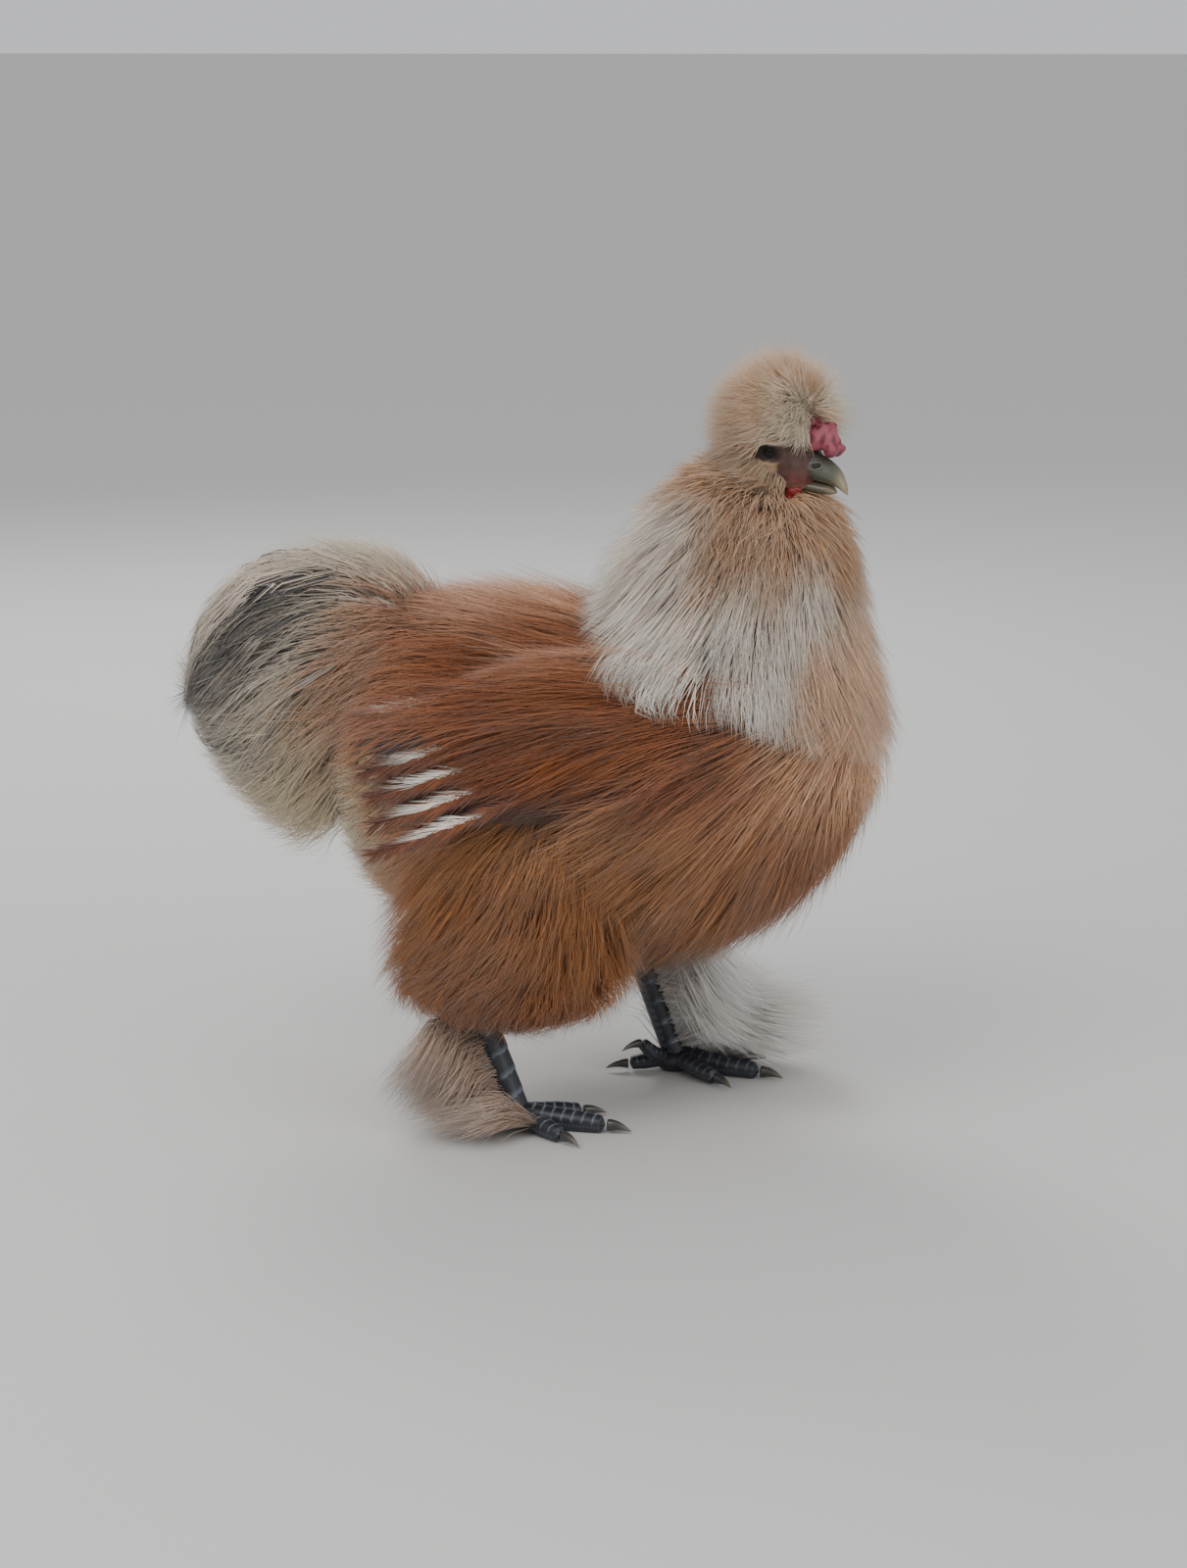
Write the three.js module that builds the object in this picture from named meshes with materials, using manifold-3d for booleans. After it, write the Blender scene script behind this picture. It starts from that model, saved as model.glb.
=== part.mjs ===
// A silkie cockerel standing at rest, life-size, as a still museum model.
// Millimetres, +Z up, +X towards the breast, +Y to the bird's left.
// Soft plumage is built as flat tapered locks that grow from a low core and overlap along their lie.
import * as THREE from "three";
import { mergeVertices } from "three/addons/utils/BufferGeometryUtils.js";
import Module from "manifold-3d";

const wasm = await Module();
wasm.setup();

// Space kept between touching pieces
const GAP = 0.36;
const RANDOM_SEED = 20417;

// Head: where it is held and how it is turned
const HEAD = { x: 93, y: -6, z: 314, yaw: -22, pitch: -7 };
const EYE = { fore: 5, side: 12.8, up: 1, radius: 5.2 };
const BEAK_TIP = { fore: 39.5, up: -13.5 };

// Feet: the middle of each foot on the floor, its heading, and how far back its hock is
const FOOT = {
  left: { x: 37, y: 50, yaw: -8 },
  right: { x: -20, y: -52, yaw: -5 },
};
const HOCK_BACK = 28;
const HOCK_HEIGHT = 84;
const SHANK_RADIUS = 6.2;
const ANKLE_HEIGHT = 10;

const rad = (degrees) => (degrees * Math.PI) / 180;
const lerp = (a, b, t) => a + (b - a) * t;
const clamp = (x, low, high) => Math.min(high, Math.max(low, x));
const vec = (x, y, z) => new THREE.Vector3(x, y, z);

// Repeatable random numbers
function randomFrom(seed) {
  let state = seed;
  return () => {
    state = (state + 0x6d2b79f5) | 0;
    let t = Math.imul(state ^ (state >>> 15), 1 | state);
    t = (t + Math.imul(t ^ (t >>> 7), 61 | t)) ^ t;
    return ((t ^ (t >>> 14)) >>> 0) / 4294967296;
  };
}

// Value of a smooth curve through evenly spaced numbers, at t from 0 to 1
function through(values, t) {
  const last = values.length - 1;
  const at = clamp(t, 0, 1) * last;
  const i = Math.min(Math.floor(at), last - 1);
  const f = at - i;
  const [p0, p1, p2, p3] = [-1, 0, 1, 2].map((k) => values[clamp(i + k, 0, last)]);
  const slope1 = (p2 - p0) / 2;
  const slope2 = (p3 - p1) / 2;
  const a = 2 * p1 - 2 * p2 + slope1 + slope2;
  const b = -3 * p1 + 3 * p2 - 2 * slope1 - slope2;
  return ((a * f + b) * f + slope1) * f + p1;
}

// A mass of plumage: shell(u, v) is where its tips end, and bone(u) the line that it shrinks towards.
// Height h runs from 1 at the tips to 0 at the core, which is coat times nearer to the bone.
function massOf({ shell, bone, coat }) {
  return {
    at(u, v, h, grow = 0) {
      const inner = bone(u);
      const out = shell(u, v).sub(inner);
      const reach = out.length();
      return out.multiplyScalar((1 - coat * (1 - h)) + grow / reach).add(inner);
    },
  };
}

// Steps along a mass, and how near to a step a point must be, when asked whether the mass holds it
const HOLD_STEPS = 40;
const HOLD_REACH = 6;
const THINNEST = 0.5;

// A mass along sections, each [x, y, z, lean, fore, aft, side]: its centre, the slope of its fore
// direction in degrees (0 points to the breast and 90 up), and its reach fore, aft and sideways.
function loftMass(sections, coat, boneFrom, boneTo) {
  const column = (k) => sections.map((s) => s[k]);
  const [xs, ys, zs, leans, fores, afts, sides] = [0, 1, 2, 3, 4, 5, 6].map(column);
  const centre = (u) => vec(through(xs, u), through(ys, u), through(zs, u));
  const reach = (list, u) => Math.max(THINNEST, through(list, u));
  const foreOf = (u) => {
    const lean = rad(through(leans, u));
    return vec(Math.cos(lean), 0, Math.sin(lean));
  };
  const shell = (u, v) => {
    const along = Math.cos(v) >= 0 ? reach(fores, u) : reach(afts, u);
    return centre(u)
      .addScaledVector(foreOf(u), along * Math.cos(v))
      .add(vec(0, reach(sides, u) * Math.sin(v), 0));
  };
  const mass = massOf({ shell, bone: (u) => centre(clamp(u, boneFrom, boneTo)), coat });
  // Whether a point lies inside the mass's tips
  mass.holds = (p) => {
    let best = Infinity;
    let inside = false;
    for (let i = 0; i <= HOLD_STEPS; i++) {
      const u = i / HOLD_STEPS;
      const from = p.clone().sub(centre(u));
      const fore = foreOf(u);
      const off = Math.abs(from.dot(vec(-fore.z, 0, fore.x)));
      if (off >= best) continue;
      best = off;
      const along = from.dot(fore);
      const f = along / reach(along >= 0 ? fores : afts, u);
      const s = from.y / reach(sides, u);
      inside = f * f + s * s < 1;
    }
    return inside && best < HOLD_REACH;
  };
  return mass;
}

// A round mass about a centre, with its pole along up
function ballMass(centre, fore, side, up, reach, coat) {
  const shell = (u, v) => {
    const polar = Math.PI * u;
    const along = Math.cos(v) >= 0 ? reach.fore : reach.aft;
    return centre
      .clone()
      .addScaledVector(up, reach.up * Math.cos(polar))
      .addScaledVector(fore, along * Math.sin(polar) * Math.cos(v))
      .addScaledVector(side, reach.side * Math.sin(polar) * Math.sin(v));
  };
  return massOf({ shell, bone: () => centre.clone(), coat });
}

// Solids from geometry
function solidOf(geometry) {
  const bare = new THREE.BufferGeometry();
  bare.setAttribute("position", geometry.getAttribute("position"));
  if (geometry.index) bare.setIndex(geometry.index);
  const merged = mergeVertices(bare, 1e-4);
  const vertProperties = new Float32Array(merged.attributes.position.array);
  const triVerts = new Uint32Array(merged.index.array);
  const corner = (i) => new THREE.Vector3().fromArray(vertProperties, 3 * triVerts[i]);
  let volume = 0;
  for (let i = 0; i < triVerts.length; i += 3) {
    volume += corner(i).dot(corner(i + 1).cross(corner(i + 2)));
  }
  if (volume < 0) triVerts.reverse();
  return new wasm.Manifold(new wasm.Mesh({ numProp: 3, vertProperties, triVerts }));
}

// A closed skin over rings of points, with a point at either end
function skinOver(rings, first, last) {
  const count = rings[0].length;
  const points = [first, ...rings.flat(), last];
  const lastIndex = points.length - 1;
  const index = [];
  for (let j = 0; j < count; j++) {
    const next = (j + 1) % count;
    index.push(0, 1 + next, 1 + j);
    const base = 1 + (rings.length - 1) * count;
    index.push(lastIndex, base + j, base + next);
    for (let i = 0; i < rings.length - 1; i++) {
      const a = 1 + i * count;
      const b = a + count;
      index.push(a + j, a + next, b + next, a + j, b + next, b + j);
    }
  }
  const geometry = new THREE.BufferGeometry().setFromPoints(points);
  geometry.setIndex(index);
  return solidOf(geometry);
}

// The core of a mass
function coreOf(mass, around, along, grow = 0, h = 0) {
  const rings = [];
  for (let i = 1; i < along; i++) {
    const ring = [];
    for (let j = 0; j < around; j++) {
      ring.push(mass.at(i / along, (2 * Math.PI * j) / around, h, grow));
    }
    rings.push(ring);
  }
  return skinOver(rings, mass.at(0, 0, h, grow), mass.at(1, 0, h, grow));
}

// A round limb through points with a radius at each, closed at both ends
function limb(points, radii, around, grow = 0, flat = 1) {
  const rings = points.map((p, i) => {
    const before = points[Math.max(0, i - 1)];
    const after = points[Math.min(points.length - 1, i + 1)];
    const tangent = after.clone().sub(before).normalize();
    const side = vec(0, 0, 1).cross(tangent);
    if (side.length() < 0.2) side.copy(vec(0, 1, 0));
    side.normalize();
    const up = tangent.clone().cross(side);
    return Array.from({ length: around }, (_, j) => {
      const a = (2 * Math.PI * j) / around;
      const r = radii[i] + grow;
      return p
        .clone()
        .addScaledVector(side, r * Math.cos(a))
        .addScaledVector(up, r * flat * Math.sin(a));
    });
  });
  const end = (i, j) => {
    const way = points[i].clone().sub(points[j]).normalize();
    return points[i].clone().addScaledVector(way, (radii[i] + grow) * 0.45);
  };
  const last = points.length - 1;
  return skinOver(rings, end(0, 1), end(last, last - 1));
}

// How much farther a lock's edges, ridge and tip move than its faces, where room is cut for it
const EDGE_ROOM = 5;
const RIDGE_ROOM = 1.2;
const ROOT_END = 0.5;

// Breadth of a lock or a vane from its root to just before its tip
const LOCK_BREADTHS = [0.6, 1, 1, 0.62];
const VANE_BREADTHS = [0.35, 0.8, 1, 1, 0.85, 0.5];

// A flat lock along a path, which ends in a point. faces holds the way that its broad side looks.
// A ridged lock is flat below; a vane has the same shape on both faces.
function lock(path, faces, width, thick, breadths, grow = 0, vane = false) {
  const last = path.length - 1;
  const rings = [];
  for (let i = 0; i < last; i++) {
    const tangent = path[i + 1].clone().sub(path[Math.max(0, i - 1)]).normalize();
    const side = tangent.clone().cross(faces[i]).normalize();
    const up = side.clone().cross(tangent).normalize();
    const breadth = through(breadths, i / (last - 1));
    const half = (width * breadth) / 2 + EDGE_ROOM * grow;
    const rise = thick * (0.4 + 0.6 * breadth) * (vane ? 0.5 : 0.75) + RIDGE_ROOM * grow;
    const fall = vane ? 0 : thick * 0.25 + grow;
    const ring = [
      path[i].clone().addScaledVector(side, half).addScaledVector(up, -fall),
      path[i].clone().addScaledVector(up, rise),
      path[i].clone().addScaledVector(side, -half).addScaledVector(up, -fall),
    ];
    if (vane) ring.push(path[i].clone().addScaledVector(up, -rise));
    rings.push(ring);
  }
  const away = path[0].clone().sub(path[1]).normalize();
  const onward = path[last].clone().sub(path[last - 1]).normalize();
  return skinOver(
    rings,
    path[0].clone().addScaledVector(away, ROOT_END + grow),
    path[last].clone().addScaledVector(onward, EDGE_ROOM * grow),
  );
}

// A lock that grows on a mass from (u, v), runs on by (du, dv), and rises from height from to height to
function lockOn(mass, place, grow = 0, bands = 3) {
  const { u, v, du, dv, width, thick, from = -0.35, to = 1, ease = 0.75 } = place;
  const path = [];
  const faces = [];
  for (let i = 0; i <= bands; i++) {
    const t = i / bands;
    const h = lerp(from, to, Math.pow(t, ease));
    const [along, round] = [u + du * t, v + dv * t];
    path.push(mass.at(along, round, h));
    const outward = mass.at(along, round, h + 0.2).sub(mass.at(along, round, h - 0.2));
    faces.push(outward.normalize());
  }
  return lock(path, faces, width, thick, LOCK_BREADTHS, grow);
}

// The largest closed body of a solid
function largest(solid) {
  return solid.decompose().sort((a, b) => b.volume() - a.volume())[0];
}

const joined = (solids) => wasm.Manifold.union(solids);

function roundSolid(centre, reach, detail, grow = 0) {
  const geometry = new THREE.IcosahedronGeometry(1, detail);
  geometry.scale(reach.x + grow, reach.y + grow, reach.z + grow);
  geometry.translate(centre.x, centre.y, centre.z);
  return solidOf(geometry);
}

// Everything below the floor, to be cut away
const GROUND = { width: 900, depth: 60 };
function underFloor() {
  const geometry = new THREE.BoxGeometry(GROUND.width, GROUND.width, GROUND.depth);
  geometry.translate(0, 0, -GROUND.depth / 2);
  return solidOf(geometry);
}

// Torso
const torsoMass = loftMass(
  [
    [151, 0, 188, 90, 3, 3, 3],
    [144, 0, 184, 90, 34, 30, 33],
    [124, 0, 173, 90, 55, 54, 60],
    [94, 0, 163, 90, 73, 74, 80],
    [54, 0, 158, 90, 87, 89, 89],
    [10, 0, 158, 90, 93, 96, 91],
    [-34, 0, 161, 90, 92, 92, 87],
    [-72, 0, 168, 90, 81, 86, 75],
    [-98, 0, 173, 90, 60, 76, 57],
    [-113, 0, 174, 90, 34, 50, 33],
    [-119, 0, 174, 90, 3, 3, 3],
  ],
  0.2,
  0.3,
  0.72,
);

// Neck with its hackle
const neckMass = loftMass(
  [
    [92, -6, 307, -16, 4, 4, 4],
    [91, -6, 301, -16, 31, 35, 28],
    [89, -5, 286, -18, 44, 49, 39],
    [86, -3, 267, -20, 54, 61, 49],
    [83, -2, 247, -20, 62, 72, 59],
    [80, 0, 226, -20, 72, 79, 69],
    [77, 0, 208, -22, 78, 83, 76],
    [76, 0, 194, -22, 70, 72, 70],
    [76, 0, 188, -22, 4, 4, 4],
  ],
  0.34,
  0.28,
  0.72,
);

// Tail cushion
const tailMass = loftMass(
  [
    [-48, 0, 206, 90, 4, 4, 4],
    [-62, 0, 208, 90, 40, 44, 38],
    [-88, 0, 208, 92, 60, 78, 51],
    [-118, 0, 204, 94, 69, 96, 53],
    [-146, 0, 200, 96, 65, 86, 47],
    [-169, 0, 197, 98, 50, 62, 35],
    [-184, 0, 196, 98, 28, 34, 19],
    [-190, 0, 195, 98, 3, 3, 3],
  ],
  0.33,
  0.3,
  0.6,
);

// Left is +Y
const signOf = (side) => (side === "left" ? 1 : -1);

// The left leg stands ahead of the right one
const LEFT_LEG_AHEAD = 20;

function thighMass(side) {
  const sign = signOf(side);
  const ahead = side === "left" ? LEFT_LEG_AHEAD : 0;
  const at = (x, y, z, fore, aft, across) => [x + ahead, sign * y, z, 0, fore, aft, across];
  return loftMass(
    [
      at(0, 46, 172, 3, 3, 3),
      at(-2, 48, 164, 34, 34, 22),
      at(-7, 51, 140, 53, 60, 34),
      at(-12, 53, 110, 59, 69, 39),
      at(-17, 54, 82, 60, 69, 38),
      at(-19, 54, 64, 55, 63, 35),
      at(-20, 54, 52, 42, 46, 27),
      at(-20, 54, 47, 3, 3, 3),
    ],
    0.3,
    0.25,
    0.62,
  );
}

function wingMass(side) {
  const sign = signOf(side);
  const at = (x, y, z, fore, aft, across) => [x, sign * y, z, 90, fore, aft, across];
  return loftMass(
    [
      at(74, 62, 206, 4, 4, 4),
      at(67, 68, 205, 22, 24, 12),
      at(48, 76, 201, 33, 39, 15),
      at(18, 80, 197, 38, 45, 16),
      at(-16, 82, 191, 36, 41, 16),
      at(-50, 79, 182, 28, 32, 13),
      at(-74, 74, 174, 15, 18, 9),
      at(-84, 71, 170, 3, 3, 3),
    ],
    0.24,
    0.24,
    0.7,
  );
}

const SIDES = ["left", "right"];
const wings = { left: wingMass("left"), right: wingMass("right") };
const thighs = { left: thighMass("left"), right: thighMass("right") };

// Whether the neck, a wing or a thigh covers this place on the torso
function covered(p) {
  const over = [neckMass, wings.left, wings.right, thighs.left, thighs.right];
  return over.some((mass) => mass.holds(p));
}

// Rows of torso locks from the breast back to the rump, and the fewest locks in a row
const TORSO_ROWS = { count: 7, first: 0.03, last: 0.86, fewest: 6 };
const TORSO_LOCK = { width: 31, thick: 7 };

function torso(grow) {
  const random = randomFrom(RANDOM_SEED);
  const made = [coreOf(torsoMass, 12, 9, grow)];
  for (let row = 0; row < TORSO_ROWS.count; row++) {
    const u = lerp(TORSO_ROWS.first, TORSO_ROWS.last, row / (TORSO_ROWS.count - 1));
    const round = torsoMass.at(u, Math.PI / 2, 0.6).y * 2 * Math.PI;
    const count = Math.max(TORSO_ROWS.fewest, Math.round(round / TORSO_LOCK.width));
    for (let k = 0; k < count; k++) {
      const turn = (k + (row % 2) / 2) / count + 0.01 * (random() - 0.5);
      const v = (turn - 0.5) * 2 * Math.PI;
      const below = Math.sin(Math.abs(v) / 2);
      const size = 0.9 + 0.2 * random();
      const chest = clamp(1 - u * 2.2, 0, 1);
      // Locks hang more on the chest, and close together under the keel
      const place = {
        u,
        v,
        du: (0.17 - 0.05 * chest) * size,
        dv: Math.sign(v) * (0.12 + 0.5 * chest * below) * (1 - 0.7 * Math.pow(below, 8)),
        width: 0.94 * TORSO_LOCK.width * size,
        thick: TORSO_LOCK.thick,
      };
      const middle = torsoMass.at(u + place.du / 2, v + place.dv / 2, 0.7);
      const tip = torsoMass.at(u + place.du, v + place.dv, 1);
      if (covered(middle) || covered(tip) || tailMass.holds(middle)) continue;
      made.push(lockOn(torsoMass, place, grow));
    }
  }
  return joined(made);
}

const NECK_TIERS = [
  { u: 0.2, du: 0.35, count: 7 },
  { u: 0.36, du: 0.35, count: 9 },
  { u: 0.52, du: 0.34, count: 10 },
];

// Neck locks fill this share of the way round, measured a little outside their middles
const NECK_LOCK = { spare: 4, share: 0.987, thick: 5 };

function neck(grow) {
  const random = randomFrom(RANDOM_SEED + 1);
  const made = [coreOf(neckMass, 10, 6, grow)];
  for (const [tier, { u, du, count }] of NECK_TIERS.entries()) {
    for (let k = 0; k < count; k++) {
      const v = ((k + tier / 2) / count) * 2 * Math.PI + 0.06 * (random() - 0.5);
      const size = 0.92 + 0.16 * random();
      const reach = neckMass.at(u + du / 2, Math.PI / 2, 0.7).y;
      const width = ((reach + NECK_LOCK.spare) * 2 * Math.PI * NECK_LOCK.share) / count;
      const place = { u, v, du: du * size, dv: 0, width, thick: NECK_LOCK.thick, ease: 0.85 };
      made.push(lockOn(neckMass, place, grow));
    }
  }
  return joined(made);
}

// Tail: downy vanes in tiers that arch over the cushion and hang at the end
const TAIL_TIERS = [
  { u: 0.16, du: 0.36, count: 8, spread: 0.86, drop: 0.2 },
  { u: 0.3, du: 0.38, count: 9, spread: 0.88, drop: 0.34 },
  { u: 0.46, du: 0.42, count: 9, spread: 0.9, drop: 0.5 },
];

const TAIL_LOCK = { width: 24, thick: 4.5 };

function tail(grow) {
  const random = randomFrom(RANDOM_SEED + 2);
  const made = [coreOf(tailMass, 12, 7, grow)];
  for (const [tier, { u, du, count, spread, drop }] of TAIL_TIERS.entries()) {
    for (let k = 0; k < count; k++) {
      const turn = (2 * k) / (count - 1) - 1;
      const v = turn * Math.PI * spread + 0.08 * (random() - 0.5);
      const size = 0.92 + 0.16 * random();
      const place = {
        u: u + 0.03 * (random() - 0.5),
        v,
        du: du * size,
        dv: Math.sign(turn || 1) * drop * Math.sin(Math.min(Math.PI, Math.abs(v) + 0.25)),
        width: TAIL_LOCK.width - tier,
        thick: TAIL_LOCK.thick,
      };
      made.push(lockOn(tailMass, place, grow, 4));
    }
  }
  return joined(made);
}

// Thigh: a full skirt of fluff that hangs to a soft hem
const THIGH_TIERS = [
  { u: 0.14, du: 0.34, count: 6 },
  { u: 0.32, du: 0.34, count: 8 },
  { u: 0.52, du: 0.36, count: 9 },
];

const THIGH_LOCK = { width: 31, thick: 6 };
// No thigh lock grows where the torso's belly already fills the space between the legs
const BETWEEN_LEGS = { side: 45, above: 90 };

function thigh(side, grow) {
  const random = randomFrom(RANDOM_SEED + (side === "left" ? 3 : 4));
  const mass = thighs[side];
  const made = [coreOf(mass, 10, 7, grow)];
  for (const [tier, { u, du, count }] of THIGH_TIERS.entries()) {
    for (let k = 0; k < count; k++) {
      const v = ((k + tier / 2) / count) * 2 * Math.PI;
      const size = 0.92 + 0.16 * random();
      const middle = mass.at(u + du / 2, v, 0.8);
      const between = Math.abs(middle.y) < BETWEEN_LEGS.side && middle.z > BETWEEN_LEGS.above;
      if (between && torsoMass.holds(middle)) continue;
      const place = {
        u,
        v,
        du: du * size,
        dv: 0.16 * Math.sin(v),
        width: THIGH_LOCK.width * size,
        thick: THIGH_LOCK.thick,
      };
      made.push(lockOn(mass, place, grow));
    }
  }
  return joined(made);
}

// Wing: hairy coverts over the hand, and a fan of flight vanes behind
const COVERT_TIERS = [
  { u: 0.07, du: 0.26, from: -1.1, to: 1.1, count: 3 },
  { u: 0.22, du: 0.28, from: -1.35, to: 1.35, count: 4 },
  { u: 0.39, du: 0.28, from: -1.4, to: 1.4, count: 4 },
  { u: 0.57, du: 0.28, from: -1.2, to: 1.2, count: 3 },
];
const COVERT = { width: 20, thick: 4.5, droop: 0.18 };
const FLIGHT = { count: 6, length: 66, width: 17, thick: 3 };
// Where the uppermost and the lowest flight vane leave the wing, how steeply each falls, and its size
const FLIGHT_TOP = { x: -34, y: 78, z: 198, fall: 16, size: 0.86 };
const FLIGHT_LOW = { x: -6, y: 81, z: 166, fall: 24, size: 1.16 };
// Each flight vane lies a little outside the one above it
const FLIGHT_STEP = 0.72;

// The path of flight vane k from its root to its tip
function flightPath(sign, k) {
  const down = k / (FLIGHT.count - 1);
  const [x, y, z, fall, size] = ["x", "y", "z", "fall", "size"].map((key) =>
    lerp(FLIGHT_TOP[key], FLIGHT_LOW[key], down),
  );
  const path = [];
  for (let i = 0; i <= 4; i++) {
    const t = i / 4;
    const run = FLIGHT.length * size * t;
    const out = y + FLIGHT_STEP * k + 7 * Math.sin(Math.PI * t * 0.7) - 6 * t;
    const back = run * Math.cos(rad(fall) * (1 - 0.4 * t));
    path.push(vec(x - back, sign * out, z - run * Math.sin(rad(fall))));
  }
  return path;
}

function wing(side, grow) {
  const sign = signOf(side);
  const random = randomFrom(RANDOM_SEED + (side === "left" ? 5 : 6));
  const mass = wings[side];
  const made = [coreOf(mass, 10, 6, grow)];
  for (const { u, du, from, to, count } of COVERT_TIERS) {
    for (let k = 0; k < count; k++) {
      const v = sign * (Math.PI / 2 + lerp(from, to, k / (count - 1)));
      const size = 0.92 + 0.16 * random();
      const place = {
        u,
        v,
        du: du * size,
        dv: sign * COVERT.droop,
        width: COVERT.width * size,
        thick: COVERT.thick,
      };
      made.push(lockOn(mass, place, grow));
    }
  }
  for (let k = 0; k < FLIGHT.count; k++) {
    const path = flightPath(sign, k);
    const faces = path.map(() => vec(0.1, sign, 0.25).normalize());
    made.push(lock(path, faces, FLIGHT.width, FLIGHT.thick, VANE_BREADTHS, grow, true));
  }
  return joined(made);
}

// Head frame
const headTurn = new THREE.Euler(0, rad(-HEAD.pitch), rad(HEAD.yaw), "ZYX");
const headAxis = (x, y, z) => vec(x, y, z).applyEuler(headTurn);
const headPlace = (fore, side, up) => headAxis(fore, side, up).add(vec(HEAD.x, HEAD.y, HEAD.z));

// A closed form through sections of the head, each [fore, up, half width, rise, fall], that ends at
// nose and back, each [fore, up]
function headForm(sections, around, nose, back, grow = 0) {
  const rings = sections.map(([fore, up, half, rise, fall]) =>
    Array.from({ length: around }, (_, j) => {
      const a = (2 * Math.PI * j) / around;
      const tall = (Math.sin(a) >= 0 ? rise : fall) + grow;
      return headPlace(fore, (half + grow) * Math.cos(a), up + tall * Math.sin(a));
    }),
  );
  const first = headPlace(back[0] - grow, 0, back[1]);
  const last = headPlace(nose[0] + grow, 0, nose[1]);
  return skinOver(rings, first, last);
}

const NOSTRIL = { fore: 24.6, side: 6.1, up: -2.2, reach: vec(2, 1.3, 1.2) };

function beakUpper(grow) {
  const horn = headForm(
    [
      [13, -4, 8.2, 6, 6],
      [19, -4, 7.6, 6.2, 6.4],
      [25, -4.8, 6.6, 6, 5.6],
      [30, -6.2, 5.3, 5.4, 4.4],
      [34.5, -8.4, 3.8, 4.6, 3],
      [38, -11.4, 2, 2.8, 1.6],
    ],
    12,
    [BEAK_TIP.fore, BEAK_TIP.up],
    [10, -4],
    grow,
  );
  if (grow > 0) return horn;
  const nostrils = SIDES.map((side) => {
    const place = headPlace(NOSTRIL.fore, signOf(side) * NOSTRIL.side, NOSTRIL.up);
    return roundSolid(place, NOSTRIL.reach, 1);
  });
  return horn.subtract(joined(nostrils));
}

function beakLower(grow) {
  return headForm(
    [
      [12, -12.4, 6.6, 1.4, 4.4],
      [19, -12.6, 5.8, 1.2, 4.2],
      [26, -12.9, 4.6, 1.6, 3.4],
      [31, -13.2, 3, 1.6, 2.4],
    ],
    10,
    [34, -13.6],
    [9.5, -13],
    grow,
  );
}

// Walnut comb: one broad low knob of small bulbs, each [fore, side, up, radius]
const COMB_BULBS = [
  [18, 0, 12, 6.6],
  [22, 5, 9.2, 5.6],
  [22, -5, 9.2, 5.6],
  [26, 0, 9, 5.8],
  [24.5, 3.2, 13, 3.6],
  [24.5, -3.2, 13, 3.6],
  [29.4, 2.6, 5, 3.6],
  [29.4, -2.6, 5, 3.6],
];

function comb(grow) {
  const bulbs = COMB_BULBS.map(([fore, side, up, radius]) =>
    roundSolid(headPlace(fore, side, up), vec(radius, radius, radius), 1, grow),
  );
  return joined(bulbs);
}

const WATTLE = { fore: 14, side: 7, up: -18.5, reach: vec(4.4, 2.7, 6.4) };

function wattle(side, grow) {
  const place = headPlace(WATTLE.fore, signOf(side) * WATTLE.side, WATTLE.up);
  return roundSolid(place, WATTLE.reach, 1, grow);
}

const eyePlace = (side) => headPlace(EYE.fore, signOf(side) * EYE.side, EYE.up);

function eye(side, grow) {
  return roundSolid(eyePlace(side), vec(1, 1, 1).multiplyScalar(EYE.radius), 1, grow);
}

// Two lids as one almond rim round the eye
const LIDS = { radius: 5.4, tube: 2.1, long: 1.1, tall: 0.78, turn: 14, side: 16.2 };

function lids(side, grow) {
  const sign = signOf(side);
  const geometry = new THREE.TorusGeometry(LIDS.radius, LIDS.tube + grow, 5, 12);
  geometry.scale(LIDS.long, LIDS.tall, 1);
  geometry.rotateX(Math.PI / 2);
  geometry.rotateZ(-sign * rad(LIDS.turn));
  geometry.translate(EYE.fore, sign * LIDS.side, EYE.up);
  const placed = geometry.applyMatrix4(new THREE.Matrix4().makeRotationFromEuler(headTurn));
  placed.translate(HEAD.x, HEAD.y, HEAD.z);
  return solidOf(placed);
}

// Muffs and beard: locks from the cheek and chin, swept back and down. run is [fore, side, up].
const MUFF = [
  { fore: 6, side: 12.5, up: -9, run: [-15, 8, -16], width: 16 },
  { fore: -4, side: 14, up: -4, run: [-18, 7, -12], width: 17 },
  { fore: 10, side: 8, up: -15, run: [-9, 6, -19], width: 15 },
  { fore: 0, side: 10, up: -15, run: [-12, 7, -18], width: 15 },
];
const BEARD = { fore: 14, side: 0, up: -15, run: [-4, 0, -22], width: 16 };
const HEAD_LOCK = { thick: 4.6, bow: 5 };

function headLock({ fore, side, up, run, width }, grow) {
  const path = [];
  const faces = [];
  for (let i = 0; i <= 3; i++) {
    const t = i / 3;
    const out = vec(fore, side, up).normalize();
    const p = vec(fore + run[0] * t, side + run[1] * t, up + run[2] * t);
    p.addScaledVector(out, HEAD_LOCK.bow * (Math.sin(Math.PI * t) + t - 1));
    path.push(headPlace(p.x, p.y, p.z));
    faces.push(headAxis(out.x, out.y, out.z));
  }
  return lock(path, faces, width, HEAD_LOCK.thick, LOCK_BREADTHS, grow);
}

function head(grow) {
  const skull = headForm(
    [
      [-20, -1, 12, 11, 11],
      [-8, -1, 17.5, 17.5, 18],
      [1, -1.5, 17, 18, 19],
      [9, -2.5, 14.6, 15.5, 17],
      [16, -4, 11.6, 12, 13.5],
      [21, -5, 8.6, 8.6, 10],
    ],
    12,
    [24, -5],
    [-25, -1],
    grow,
  );
  const mirrored = MUFF.map((m) => ({ ...m, side: -m.side, run: [m.run[0], -m.run[1], m.run[2]] }));
  const coat = [...MUFF, ...mirrored, BEARD].map((m) => headLock(m, grow));
  return joined([skull, lids("left", grow), lids("right", grow), ...coat]);
}

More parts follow.
